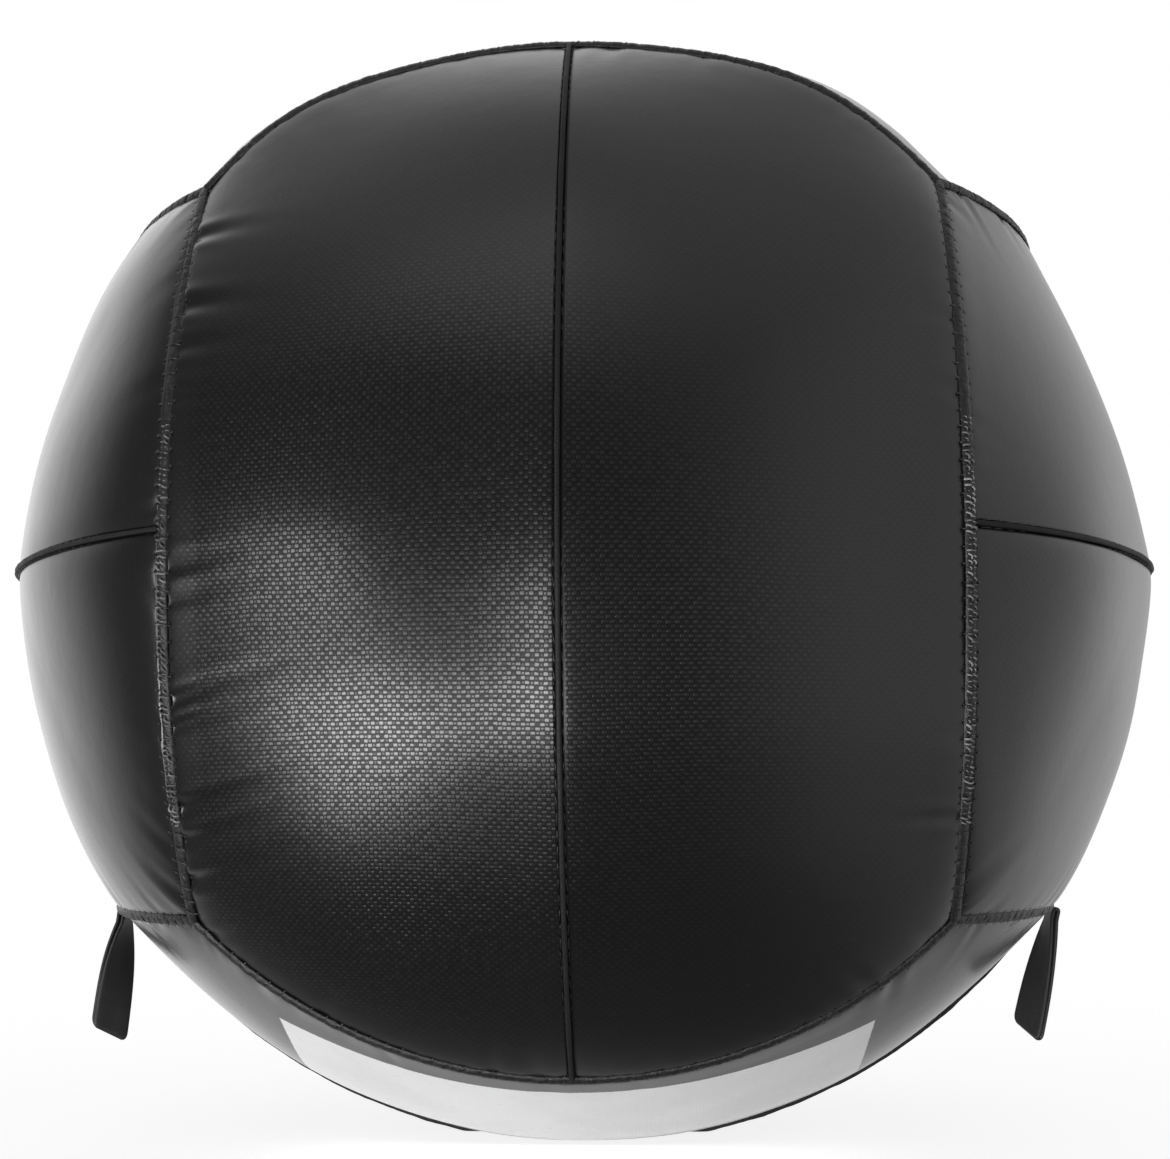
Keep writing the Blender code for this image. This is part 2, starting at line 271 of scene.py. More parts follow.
def grid_quads(rows, columns, first=0):
    """Quads of a grid of points with rows and columns."""
    index = first + np.arange(rows * columns).reshape(rows, columns)
    corners = (index[:-1, :-1], index[:-1, 1:], index[1:, 1:], index[1:, :-1])
    return np.stack(corners, -1).reshape(-1, 4)


def grid_rim(rows, columns):
    """Indices round a grid's edge, in order."""
    index = np.arange(rows * columns).reshape(rows, columns)
    return np.concatenate([index[0, :-1], index[:-1, -1], index[-1, :0:-1], index[:0:-1, 0]])


def new_object(name, data):
    made = bpy.data.objects.new(name, data)
    bpy.context.scene.collection.objects.link(made)
    return made


def new_piece(name, points, corners):
    """A smooth mesh object whose faces point outwards."""
    mesh = bpy.data.meshes.new(name)
    mesh.from_pydata(points.reshape(-1, 3).tolist(), [], corners)
    mesh.shade_smooth()
    if volume_of(mesh) < 0:
        mesh.flip_normals()
    return new_object(name, mesh)


def volume_of(mesh):
    """Signed volume, below zero on a closed mesh that is inside out."""
    mesh.calc_loop_triangles()
    corners = np.empty(len(mesh.loop_triangles) * 3, np.int32)
    mesh.loop_triangles.foreach_get("vertices", corners)
    points = np.empty(len(mesh.vertices) * 3)
    mesh.vertices.foreach_get("co", points)
    a, b, c = points.reshape(-1, 3)[corners.reshape(-1, 3)].transpose(1, 0, 2)
    return float(np.einsum("ij,ij->", a, np.cross(b, c))) / 6


def give_uv(piece, name, values):
    """A UV map from one pair of numbers for each vertex."""
    mesh = piece.data
    corners = np.empty(len(mesh.loops), np.int32)
    mesh.loops.foreach_get("vertex_index", corners)
    layer = mesh.uv_layers.new(name=name)
    layer.data.foreach_set("uv", np.asarray(values, np.float32).reshape(-1, 2)[corners].ravel())


def give_attribute(piece, name, values):
    layer = piece.data.attributes.new(name, "FLOAT", "POINT")
    layer.data.foreach_set("value", np.asarray(values, np.float32).ravel())


def dress(piece, body, slot_name, material, *nodes):
    """Give a finished piece its material, its body and the CAD nodes that it stands for."""
    piece.data.materials.clear()
    piece.data.materials.append(material)
    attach(piece, body)
    if nodes:
        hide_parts(*nodes)
    return piece


def slab(name, outer, inner):
    """A closed piece between two grids of points."""
    rows, columns = outer.shape[:2]
    count = rows * columns
    rim = grid_rim(rows, columns)
    following = np.roll(rim, -1)
    sides = np.stack([rim, following, following + count, rim + count], -1)
    quads = np.concatenate([grid_quads(rows, columns)[:, ::-1], grid_quads(rows, columns, count), sides])
    return new_piece(name, np.stack([outer, inner]), quads.tolist())


def swept(name, rings):
    """A closed piece through rings of as many points each, with its two ends filled by fans."""
    rows, around = rings.shape[:2]
    index = np.arange(rows * around).reshape(rows, around)
    turned = np.roll(index, -1, axis=1)
    quads = np.stack([index[:-1], turned[:-1], turned[1:], index[1:]], -1).reshape(-1, 4)
    first = np.full(around, rows * around)
    last = first + 1
    fans = np.stack([index[0], first, turned[0], index[-1], turned[-1], last], -1).reshape(-1, 3)
    points = np.concatenate([rings.reshape(-1, 3), [rings[0].mean(0)], [rings[-1].mean(0)]])
    return new_piece(name, points, quads.tolist() + fans.tolist())


def add_node(tree, kind, inputs=(), **settings):
    """A node with its settings, and its inputs joined to sockets or set to values."""
    made = tree.nodes.new(kind)
    for name, value in settings.items():
        setattr(made, name, value)
    for name, value in dict(inputs).items():
        if isinstance(value, bpy.types.NodeSocket):
            tree.links.new(value, made.inputs[name])
        else:
            made.inputs[name].default_value = value
    return made


def maths(tree, operation, *values, clamp=False):
    made = add_node(tree, "ShaderNodeMath", dict(enumerate(values)), operation=operation, use_clamp=clamp)
    return made.outputs[0]


def times(tree, first, second):
    return maths(tree, "MULTIPLY", first, second)


def vector_maths(tree, operation, inputs):
    return add_node(tree, "ShaderNodeVectorMath", inputs, operation=operation).outputs[0]


def ramp(tree, value, low, high, from_value=0.0, to_value=1.0):
    """A smooth step of a value from one number to another."""
    inputs = {"Value": value, "From Min": low, "From Max": high, "To Min": from_value, "To Max": to_value}
    made = add_node(tree, "ShaderNodeMapRange", inputs, interpolation_type="SMOOTHSTEP")
    return made.outputs["Result"]


def noise(tree, position, scale, detail=2.0, roughness=0.5):
    inputs = {"Vector": position, "Scale": scale, "Detail": detail, "Roughness": roughness}
    return add_node(tree, "ShaderNodeTexNoise", inputs).outputs[0]


def blend_colour(tree, factor, first, second):
    made = add_node(tree, "ShaderNodeMix", {0: factor}, data_type="RGBA")
    for index, value in ((6, first), (7, second)):
        if isinstance(value, bpy.types.NodeSocket):
            tree.links.new(value, made.inputs[index])
        else:
            made.inputs[index].default_value = (*value, 1)
    return made.outputs[2]


def bump(tree, height, distance, strength=1.0, normal=None):
    inputs = {"Height": height, "Distance": distance, "Strength": strength}
    if normal is not None:
        inputs["Normal"] = normal
    return add_node(tree, "ShaderNodeBump", inputs).outputs[0]


def scaled(tree, position, factors):
    """A pattern's coordinates, stretched along each axis."""
    return add_node(tree, "ShaderNodeMapping", {"Vector": position, "Scale": factors}).outputs[0]


def shader_group(name, inputs, outputs):
    """A shader node group with its sockets. The inputs are (name, kind, default)."""
    tree = bpy.data.node_groups.new(name, "ShaderNodeTree")
    for socket_name, kind, default in inputs:
        socket = tree.interface.new_socket(socket_name, in_out="INPUT", socket_type=f"NodeSocket{kind}")
        if default is not None:
            socket.default_value = default
    for socket_name in outputs:
        tree.interface.new_socket(socket_name, in_out="OUTPUT", socket_type="NodeSocketFloat")
    return tree, tree.nodes.new("NodeGroupInput").outputs, tree.nodes.new("NodeGroupOutput")


def finish_group(tree, ending, results):
    for name, socket in results.items():
        tree.links.new(socket, ending.inputs[name])
    return tree


def use_group(tree, group, inputs):
    return add_node(tree, "ShaderNodeGroup", inputs, node_tree=group).outputs


def make_weave():
    """Plain weave: yarns that pass over and under each other, those across standing higher."""
    inputs = [("Position", "Vector", None), ("Pitch", "Float", 0.001), ("Unevenness", "Float", 0.1)]
    tree, given, ending = shader_group("plain_weave", inputs, ["Height", "Crown"])
    spots = add_node(tree, "ShaderNodeTexNoise", {"Vector": given["Position"], "Scale": 60.0, "Detail": 2.0})
    drift = vector_maths(tree, "ADD", {0: spots.outputs["Color"], 1: (-0.5, -0.5, -0.5)})
    amount = times(tree, given["Pitch"], given["Unevenness"])
    drift = vector_maths(tree, "SCALE", {0: drift, "Scale": amount})
    moved = vector_maths(tree, "ADD", {0: given["Position"], 1: drift})
    apart = add_node(tree, "ShaderNodeSeparateXYZ", {0: moved}).outputs
    waves = []
    for direction in (0, 1):
        turns = maths(tree, "DIVIDE", apart[direction], given["Pitch"])
        waves.append(maths(tree, "SINE", times(tree, turns, math.pi)))
    row = maths(tree, "POWER", maths(tree, "ABSOLUTE", waves[1]), 1.2)
    run = times(tree, waves[0], maths(tree, "SIGN", waves[1]))
    over = ramp(tree, run, -0.25, 0.6, 0.1, 1.0)
    under = times(tree, maths(tree, "ABSOLUTE", waves[0]), 0.45)
    yarn = times(tree, maths(tree, "MAXIMUM", over, under), row)
    slub = noise(tree, scaled(tree, given["Position"], (520.0, 420.0, 1.0)), 1.0, 1.0)
    slub = ramp(tree, slub, 0.3, 0.7, 0.5, 1.2)
    crown = times(tree, yarn, slub)
    height = maths(tree, "MULTIPLY_ADD", yarn, 0.2, times(tree, crown, 0.8))
    return finish_group(tree, ending, {"Height": height, "Crown": crown})


def make_needle_marks():
    """Round holes that a needle left in a row along a seam."""
    names = ("Along", "Distance", "Pitch", "Row", "Radius")
    defaults = (0.0, 0.0, 0.004, 0.002, 0.0004)
    inputs = [(name, "Float", default) for name, default in zip(names, defaults)]
    tree, given, ending = shader_group("needle_marks", inputs, ["Hole", "Pull"])
    turns = maths(tree, "DIVIDE", given["Along"], given["Pitch"])
    past = maths(tree, "SUBTRACT", turns, maths(tree, "ROUND", turns))
    sideways = times(tree, past, given["Pitch"])
    away = maths(tree, "SUBTRACT", given["Distance"], given["Row"])
    squared = maths(tree, "ADD", times(tree, sideways, sideways), times(tree, away, away))
    distance = maths(tree, "DIVIDE", maths(tree, "SQRT", squared), given["Radius"])
    hole = ramp(tree, distance, 0.6, 1.3, 1.0, 0.0)
    pull = ramp(tree, distance, 0.5, 3.4, 1.0, 0.0)
    return finish_group(tree, ending, {"Hole": hole, "Pull": pull})


def make_handling():
    """Traces of use: soft smudges, fine dust and small scuffs."""
    inputs = [("Position", "Vector", None)]
    tree, given, ending = shader_group("handling", inputs, ["Smudge", "Dust", "Scuff"])
    smudge = ramp(tree, noise(tree, given["Position"], 26.0, 4.0, 0.55), 0.35, 0.7)
    dust = ramp(tree, noise(tree, given["Position"], 640.0, 3.0, 0.6), 0.66, 0.8)
    broad = noise(tree, given["Position"], 38.0, 2.0)
    dust = times(tree, dust, ramp(tree, broad, 0.45, 0.7))
    scuff = noise(tree, scaled(tree, given["Position"], (210.0, 210.0, 900.0)), 1.0, 3.0)
    scuff = ramp(tree, scuff, 0.7, 0.78)
    scuff = times(tree, scuff, ramp(tree, broad, 0.5, 0.62))
    return finish_group(tree, ending, {"Smudge": smudge, "Dust": dust, "Scuff": scuff})


def make_grain():
    """The fine skin of a plastic coating."""
    tree, given, ending = shader_group("coating_grain", [("Position", "Vector", None)], ["Height", "Dents"])
    fine = noise(tree, given["Position"], 2600.0, 2.0, 0.6)
    dents = noise(tree, given["Position"], 70.0, 3.0, 0.5)
    return finish_group(tree, ending, {"Height": fine, "Dents": dents})


def make_twill():
    """Ribbed webbing with slanting yarns and firm edges."""
    inputs = [("Position", "Vector", None), ("Rib", "Float", 0.0009), ("Width", "Float", 0.012)]
    tree, given, ending = shader_group("webbing_twill", inputs, ["Height", "Edge"])
    apart = add_node(tree, "ShaderNodeSeparateXYZ", {0: given["Position"]}).outputs
    zigzag = maths(tree, "PINGPONG", apart[0], times(tree, given["Width"], 0.25))
    slant = maths(tree, "DIVIDE", maths(tree, "ADD", apart[1], zigzag), given["Rib"])
    ribs = maths(tree, "ABSOLUTE", maths(tree, "SINE", times(tree, slant, math.pi)))
    cords = maths(tree, "DIVIDE", apart[0], given["Rib"])
    cords = maths(tree, "ABSOLUTE", maths(tree, "SINE", times(tree, cords, math.pi)))
    height = maths(tree, "MULTIPLY_ADD", times(tree, ribs, 0.7), 1.0, times(tree, cords, 0.3))
    across = maths(tree, "DIVIDE", maths(tree, "ABSOLUTE", apart[0]), given["Width"])
    edge = ramp(tree, across, 0.4, 0.47)
    return finish_group(tree, ending, {"Height": height, "Edge": edge})


def shared_groups():
    """The shader groups, built once."""
    makers = {
        "plain_weave": make_weave,
        "needle_marks": make_needle_marks,
        "handling": make_handling,
        "coating_grain": make_grain,
        "webbing_twill": make_twill,
    }
    return {name: bpy.data.node_groups.get(name) or maker() for name, maker in makers.items()}


def new_material(name, roughness, coat=0.0):
    material = bpy.data.materials.get(name)
    if material:
        return material, None, None
    material = bpy.data.materials.new(name)
    material.use_nodes = True
    tree = material.node_tree
    shader = tree.nodes["Principled BSDF"]
    shader.inputs["Roughness"].default_value = roughness
    shader.inputs["Coat Weight"].default_value = coat
    return material, tree, shader


def finish_material(tree, shader, base, roughness, normal):
    """Join a material's colour, roughness and relief to its shader."""
    for socket, name in ((base, "Base Color"), (roughness, "Roughness"), (normal, "Normal")):
        tree.links.new(socket, shader.inputs[name])


def shaded(colours, factor):
    """A colour made darker or lighter."""
    return tuple(part * factor for part in colours)


def attribute(tree, name):
    return add_node(tree, "ShaderNodeAttribute", attribute_name=name).outputs["Fac"]


def object_position(tree):
    return add_node(tree, "ShaderNodeTexCoord").outputs["Object"]


def uv_position(tree, name):
    return add_node(tree, "ShaderNodeUVMap", uv_map=name).outputs[0]


def cover_material(name, look, seams, ball, printed=False):
    """Black coated cloth whose weave shows through, with needle marks along its seams."""
    material, tree, shader = new_material(name, 0.3)
    if tree is None:
        return material
    shader.inputs["IOR"].default_value = 1.22
    shader.inputs["Coat IOR"].default_value = 1.6
    shader.inputs["Coat Roughness"].default_value = 0.24
    groups = shared_groups()
    position = object_position(tree)
    cloth = uv_position(tree, "cloth")
    weave = use_group(
        tree, groups["plain_weave"], {"Position": cloth, "Pitch": look.yarn_pitch, "Unevenness": 0.9}
    )
    worked = ramp(tree, attribute(tree, "centre_distance"), 0.0013, 0.0020)
    worked = times(tree, worked, attribute(tree, "weave_depth"))
    inwards = ramp(tree, attribute(tree, "border_distance"), 0.003, 0.013, 0.15, 1.0)
    worked = times(tree, worked, inwards)
    crown = times(tree, weave["Crown"], worked)
    cloth_height = times(tree, weave["Height"], worked)
    grain = use_group(tree, groups["coating_grain"], {"Position": position})
    handling = use_group(tree, groups["handling"], {"Position": position})
    clear_of_edge = 0.0005
    needle_radius = 0.00034
    border_row = seams.border_width / 2 + seams.border_lap + clear_of_edge
    border = use_group(
        tree,
        groups["needle_marks"],
        {
            "Along": attribute(tree, "border_along"),
            "Distance": attribute(tree, "border_distance"),
            "Pitch": whip_pitch(ball, seams),
            "Row": border_row,
            "Radius": needle_radius,
        },
    )
    # The cloth is lighter on the yarn crowns and darker in the gaps between them: painted light and shading
    # of the weave. Smudges, which are real dirt, also darken it a little.
    painted_shade = maths(tree, "MULTIPLY_ADD", cloth_height, 0.35, 0.65)
    painted_shade = times(tree, painted_shade, maths(tree, "MULTIPLY_ADD", handling["Smudge"], 0.15, 0.92))
    vinyl = tuple(look.vinyl)
    base = blend_colour(tree, painted_shade, shaded(vinyl, 0.5), shaded(vinyl, 1.1))
    base = blend_colour(tree, times(tree, handling["Dust"], 0.35), base, (0.09, 0.088, 0.082))
    base = blend_colour(tree, times(tree, handling["Scuff"], 0.5), base, (0.045, 0.045, 0.046))
    bare = times(tree, ramp(tree, weave["Crown"], 0.15, 0.6, 0.9, 0.0), worked)
    folded = ramp(tree, attribute(tree, "centre_distance"), 0.0013, 0.0020, 0.85, 0.0)
    bare = maths(tree, "MAXIMUM", bare, folded)
    coating = maths(tree, "SUBTRACT", 1.0, bare)
    roughness = maths(tree, "MULTIPLY_ADD", handling["Smudge"], 0.04, 0.32)
    roughness = maths(tree, "SUBTRACT", roughness, times(tree, crown, 0.14))
    roughness = maths(tree, "ADD", roughness, times(tree, handling["Dust"], 0.25))
    if printed:
        mask = band_mask(tree, cloth, look, ball)
        wear = ramp(tree, noise(tree, scaled(tree, cloth, (1500.0, 260.0, 1.0)), 1.0, 4.0, 0.65), 0.60, 0.70)
        wear = times(tree, wear, maths(tree, "SUBTRACT", 1.0, weave["Height"]))
        mask = times(tree, mask, maths(tree, "MULTIPLY_ADD", wear, -0.5, 1.0))
        ink = blend_colour(tree, handling["Smudge"], tuple(look.band), shaded(look.band, 0.9))
        base = blend_colour(tree, mask, base, ink)
        roughness = maths(tree, "ADD", roughness, times(tree, mask, 0.08))
    # Needle holes painted near black: painted shading inside each hole.
    base = blend_colour(tree, border["Hole"], base, (0.001, 0.001, 0.001))
    roughness = maths(tree, "ADD", roughness, times(tree, border["Hole"], 0.4), clamp=True)
    normal = bump(tree, grain["Dents"], 0.0008, 0.35)
    normal = bump(tree, times(tree, border["Pull"], -1.0), 0.0006, 0.8, normal)
    normal = bump(tree, cloth_height, 0.00011, 1.0, normal)
    normal = bump(tree, grain["Height"], 0.00002, 0.5, normal)
    coating = maths(tree, "SUBTRACT", coating, border["Hole"], clamp=True)
    tree.links.new(coating, shader.inputs["Coat Weight"])
    finish_material(tree, shader, base, roughness, normal)
    return material


def band_mask(tree, cloth, look, ball):
    """Where the plain band is printed: between two curves beside the bottom seam."""
    apart = add_node(tree, "ShaderNodeSeparateXYZ", {0: cloth}).outputs
    narrowing = maths(tree, "COSINE", maths(tree, "DIVIDE", apart[1], ball.seam_radius))
    turn = maths(tree, "DIVIDE", maths(tree, "DIVIDE", apart[0], narrowing), ball.seam_radius)
    ragged = noise(tree, cloth, 1400.0, 2.0)
    ragged = maths(tree, "MULTIPLY_ADD", ragged, 0.004, -0.002)
    turn = maths(tree, "ADD", turn, ragged)
    soft = 0.0016
    above = ramp(tree, turn, look.band_low - soft, look.band_low + soft)
    below = ramp(tree, turn, look.band_high - soft, look.band_high + soft, 1.0, 0.0)
    reach = maths(tree, "ADD", maths(tree, "ABSOLUTE", apart[1]), times(tree, ragged, 0.15))
    ends = ramp(tree, reach, look.band_half - 0.0003, look.band_half + 0.0003, 1.0, 0.0)
    return times(tree, times(tree, above, below), ends)


def welt_material(seams):
    """The cover's cloth folded into a tight flat strip."""
    material, tree, shader = new_material("folded_welt", 0.4)
    if tree is None:
        return material
    shader.inputs["IOR"].default_value = 1.35
    groups = shared_groups()
    position = object_position(tree)
    strip = uv_position(tree, "strip")
    weave = use_group(tree, groups["plain_weave"], {"Position": strip, "Pitch": 0.0009, "Unevenness": 0.6})
    grain = use_group(tree, groups["coating_grain"], {"Position": position})
    handling = use_group(tree, groups["handling"], {"Position": position})
    colours = tuple(seams.welt)
    # The welt is lighter on its yarns and darker between them: painted light and shading of the weave.
    painted_shade = maths(tree, "MULTIPLY_ADD", weave["Height"], 0.4, 0.5)
    base = blend_colour(tree, painted_shade, shaded(colours, 0.6), shaded(colours, 1.3))
    base = blend_colour(tree, times(tree, handling["Dust"], 0.5), base, (0.12, 0.118, 0.11))
    roughness = maths(tree, "MULTIPLY_ADD", handling["Smudge"], 0.1, 0.55)
    pinch = noise(tree, scaled(tree, strip, (300.0, 220.0, 1.0)), 1.0, 2.0)
    normal = bump(tree, pinch, 0.0005, 0.5)
    normal = bump(tree, weave["Height"], 0.00012, 0.5, normal)
    normal = bump(tree, grain["Height"], 0.00003, 0.5, normal)
    finish_material(tree, shader, base, roughness, normal)
    return material


def edge_material(seams):
    """The gathered raw edges that the overcast thread holds."""
    material, tree, shader = new_material("gathered_edge", 0.5)
    if tree is None:
        return material
    groups = shared_groups()
    position = object_position(tree)
    handling = use_group(tree, groups["handling"], {"Position": position})
    folds = noise(tree, position, 900.0, 4.0, 0.65)
    fray = noise(tree, position, 3200.0, 2.0, 0.7)
    colours = tuple(seams.thread)
    # Lighter on the raised folds and darker in their hollows: painted light and shading of the gathered
    # folds.
    painted_shade = ramp(tree, folds, 0.38, 0.66)
    base = blend_colour(tree, painted_shade, shaded(colours, 0.4), shaded(colours, 1.6))
    base = blend_colour(tree, times(tree, handling["Dust"], 0.4), base, (0.1, 0.098, 0.09))
    roughness = ramp(tree, folds, 0.4, 0.7, 0.44, 0.26)
    normal = bump(tree, folds, 0.0005, 0.7)
    normal = bump(tree, fray, 0.00008, 0.6, normal)
    finish_material(tree, shader, base, roughness, normal)
    return material


def thread_material(seams, name="bonded_thread", painted_glint_factor=1.0):
    """Bonded sewing thread with a waxy gloss; a painted glint factor above one lifts its colour as a painted
    highlight.
    """
    material, tree, shader = new_material(name, 0.3)
    if tree is None:
        return material
    position = object_position(tree)
    strands = noise(tree, position, 2400.0, 3.0, 0.6)
    # Random lighter patches along the thread.
    lighter_patches = noise(tree, position, 130.0, 3.0)
    # A painted glint factor above one lifts the thread's colour: a painted highlight that stands in for
    # glints.
    colours = shaded(seams.thread, painted_glint_factor)
    base = blend_colour(tree, ramp(tree, lighter_patches, 0.4, 0.72), colours, shaded(colours, 3.2))
    roughness = ramp(tree, strands, 0.35, 0.7, 0.24, 0.42)
    normal = bump(tree, strands, 0.0001, 0.7)
    finish_material(tree, shader, base, roughness, normal)
    return material


def webbing_material(loops):
    """Flat black webbing, smooth on its face, with painted shading between its ribs and at its edges."""
    material, tree, shader = new_material("flat_webbing", 0.5)
    if tree is None:
        return material
    groups = shared_groups()
    position = object_position(tree)
    strip = uv_position(tree, "strip")
    twill = use_group(tree, groups["webbing_twill"], {"Position": strip, "Rib": 0.0008, "Width": loops.width})
    handling = use_group(tree, groups["handling"], {"Position": position})
    colours = tuple(loops.webbing)
    # Lighter on the ribs and darker between them: painted light and shading of the twill.
    painted_shade = maths(tree, "MULTIPLY_ADD", twill["Height"], 0.5, 0.35)
    base = blend_colour(tree, painted_shade, shaded(colours, 0.45), shaded(colours, 1.25))
    # Darker at both edges: painted shading at the webbing's edges.
    base = blend_colour(tree, times(tree, twill["Edge"], 0.55), base, shaded(colours, 0.4))
    base = blend_colour(tree, times(tree, handling["Dust"], 0.4), base, (0.1, 0.098, 0.09))
    roughness = maths(tree, "MULTIPLY_ADD", handling["Smudge"], 0.1, 0.48)
    soft = noise(tree, position, 240.0, 3.0)
    normal = bump(tree, soft, 0.0005, 0.4)
    normal = bump(tree, twill["Height"], 0.00016, 0.6, normal)
    finish_material(tree, shader, base, roughness, normal)
    return material


def inner_material(name, light, dark, cell, depth, roughness):
    """Foam, fibre, cloth or sand inside the ball: a grain of light and dark cells."""
    material, tree, shader = new_material(name, roughness)
    if tree is None:
        return material
    position = object_position(tree)
    inputs = {"Vector": position, "Scale": 1 / cell}
    cells = add_node(tree, "ShaderNodeTexVoronoi", inputs, feature="SMOOTH_F1").outputs["Distance"]
    clumps = noise(tree, position, 90.0, 4.0)
    mixed = maths(tree, "ADD", times(tree, cells, 0.7), times(tree, clumps, 0.5), clamp=True)
    base = blend_colour(tree, mixed, light, dark)
    normal = bump(tree, times(tree, cells, -1.0), depth, 0.7)
    normal = bump(tree, clumps, 0.002, 0.4, normal)
    uneven = ramp(tree, cells, 0.2, 0.8, roughness - 0.08, roughness + 0.08)
    finish_material(tree, shader, base, uneven, normal)
    return material


def seam_arc_length(ball):
    """Length of half a border seam, from its middle to its corner."""
    return ball.seam_radius * math.sin(centre_seam_half_angle) * border_half_angle


def whip_count(ball, seams):
    return 2 * round(seam_arc_length(ball) / seams.whip_pitch - 0.5)


def whip_pitch(ball, seams):
    """The spacing that fits a whole number of stitches between two corners."""
    return 2 * seam_arc_length(ball) / (whip_count(ball, seams) + 1)


def slow_waves(ball, direction, look):
    """Gentle unevenness of a stuffed cover, the same on each run."""
    chance = np.random.default_rng(7)
    height = np.zeros(direction.shape[:-1])
    for wavelength in (0.16, 0.12, 0.09, 0.075, 0.062, 0.055, 0.047, 0.04):
        wave = unit(chance.normal(size=3)) * 2 * math.pi * ball.seam_radius / wavelength
        height += np.sin(direction @ wave + chance.uniform(0, 2 * math.pi)) * wavelength / 0.16
    return height * look.wave_height / 2


# How far some panels swell or sink: (height, distance from the border where it is most).
swells = {
    "top_front": (-0.0034, 0.018),
    "top_back": (-0.0034, 0.018),
    "left_upper": (0.0020, 0.030),
    "left_lower": (0.0020, 0.030),
    "right_upper": (-0.0008, 0.030),
    "right_lower": (0.0024, 0.030),
    "bottom_front": (-0.0010, 0.025),
}


def swell(name, distance, centre):
    """How far a panel stands out of its plain form, most at some distance from its border.

    It fades out towards the centre seam, whose welt keeps its own height."""
    height, at = swells.get(name, (0.0, 0.03))
    welt_edge = 0.0007
    fade_length = 0.006
    beside_welt = 1 - np.exp(-np.maximum(centre - welt_edge, 0) / fade_length)
    return height * (distance / at) * np.exp(1 - distance / at) * beside_welt


def puckers(along, distance, folds):
    """Short wrinkles that run inwards from a seam. Each is (place, depth, width, length, lean)."""
    height = np.zeros_like(along)
    for at, depth, width, reach, lean in folds:
        offset = (along - at - lean * distance) / width
        high_ridge = 0.6 * np.exp(-((offset - 1.9) ** 2))
        low_ridge = 0.4 * np.exp(-((offset + 1.9) ** 2))
        valley = np.exp(-(offset**2)) - high_ridge - low_ridge
        fade = np.exp(-((distance / reach) ** 1.5)) * (1 - np.exp(-distance / 0.0007))
        height -= depth * valley * fade
    return height


def scattered_folds(seed, low, high, look, strength):
    """Puckers at uneven places between two ends of a seam."""
    chance = np.random.default_rng(seed)
    folds = []
    at = low + chance.uniform(0.004, 0.014)
    while at < high - 0.003:
        depth = look.pucker_depth * strength * chance.uniform(0.15, 0.9) ** 1.5
        width = chance.uniform(0.0014, 0.0030)
        lean = -0.35 * at / high + chance.uniform(-0.2, 0.2)
        folds.append((at, depth, width, chance.uniform(0.005, 0.013), lean))
        at += chance.uniform(0.009, 0.026)
    return folds


# Puckers of the front left panel: (place, depth, width, length, lean), the depth as a share.
front_left_folds = (
    (0.0895, 0.62, 0.0022, 0.0110, -0.30),
    (0.0635, 0.75, 0.0024, 0.0120, -0.25),
    (0.0500, 0.55, 0.0020, 0.0100, -0.15),
    (0.0348, 0.45, 0.0022, 0.0100, -0.10),
    (-0.0100, 0.50, 0.0021, 0.0110, 0.10),
    (-0.0190, 0.60, 0.0019, 0.0120, 0.20),
    (-0.0450, 0.95, 0.0022, 0.0150, 0.35),
    (-0.0520, 0.80, 0.0019, 0.0130, 0.40),
    (-0.0750, 1.00, 0.0024, 0.0150, 0.45),
    (-0.0850, 0.80, 0.0019, 0.0120, 0.50),
    (-0.0985, 0.95, 0.0022, 0.0130, 0.60),
)


def panel_grid(ball, panel, columns, rows, gaps, reach=0.012):
    """A panel's directions on a grid with its flatness, clear of its seams."""
    across, along = np.meshgrid(clustered(columns, 0.55), clustered(rows, 0.3) * 2 - 1)
    direction = panel_direction(panel, across, along)
    direction = clear_of_seams(ball.seam_radius, panel, direction, gaps, reach)
    return direction, flatness_at(ball, across, along)


def cover_heights(ball, look, seams, name, panel, direction):
    """Height of the cloth over the seams' skin, and the coordinates that its marks follow."""
    normal, seam, side = panel
    centre, outer, end = seam_distances(ball.seam_radius, panel, direction)
    border_gap = seams.border_width / 2
    arc = ball.seam_radius * math.sin(centre_seam_half_angle)
    outer_along = arc * np.arctan2(direction @ seam, direction @ normal)
    end_sign = np.sign(direction @ seam)
    end_along = arc * np.arctan2(direction @ side, np.abs(direction @ seam))
    seed = sum(ord(letter) * (index + 3) for index, letter in enumerate(name))
    height = slow_waves(ball, direction, look) + swell(name, np.minimum(end, outer), centre)
    half = seam_arc_length(ball)
    if name == "front_left":
        deeper, longer = 1.6, 1.25
        folds = [
            (at, deeper * depth * look.pucker_depth, width, longer * reach, lean)
            for at, depth, width, reach, lean in front_left_folds
        ]
    else:
        folds = scattered_folds(seed, -half, half, look, 0.75)
    height += puckers(outer_along, np.maximum(outer - border_gap, 0), folds)
    for towards in (-1, 1):
        folds = scattered_folds(seed + towards, 0, half, look, 0.7)
        height += puckers(end_along, np.maximum(end - border_gap, 0), folds) * (end_sign == towards)
    broad_reach, sharp_reach = 0.0050, 0.0013
    for distance, gap, broad, sharp in (
        (outer, border_gap, 0.00042, 0.00016),
        (end, border_gap, 0.00042, 0.00016),
        (centre, seams.welt_width / 2, 0.00030, 0.00012),
    ):
        past = np.maximum(distance - gap, 0)
        height -= broad * np.exp(-past / broad_reach) + sharp * np.exp(-past / sharp_reach)
    nearer_end = end < outer
    marks = np.where(nearer_end, end_along, outer_along)
    return height, marks, np.minimum(end, outer)


# The weave shows through most round this direction, where the cover is stretched, and
# fades to faint between these two angles from it, in degrees.
stretched_at = (-0.25, -0.94, -0.23)
stretched_full, stretched_end = 22, 41
faint_weave = 0.12


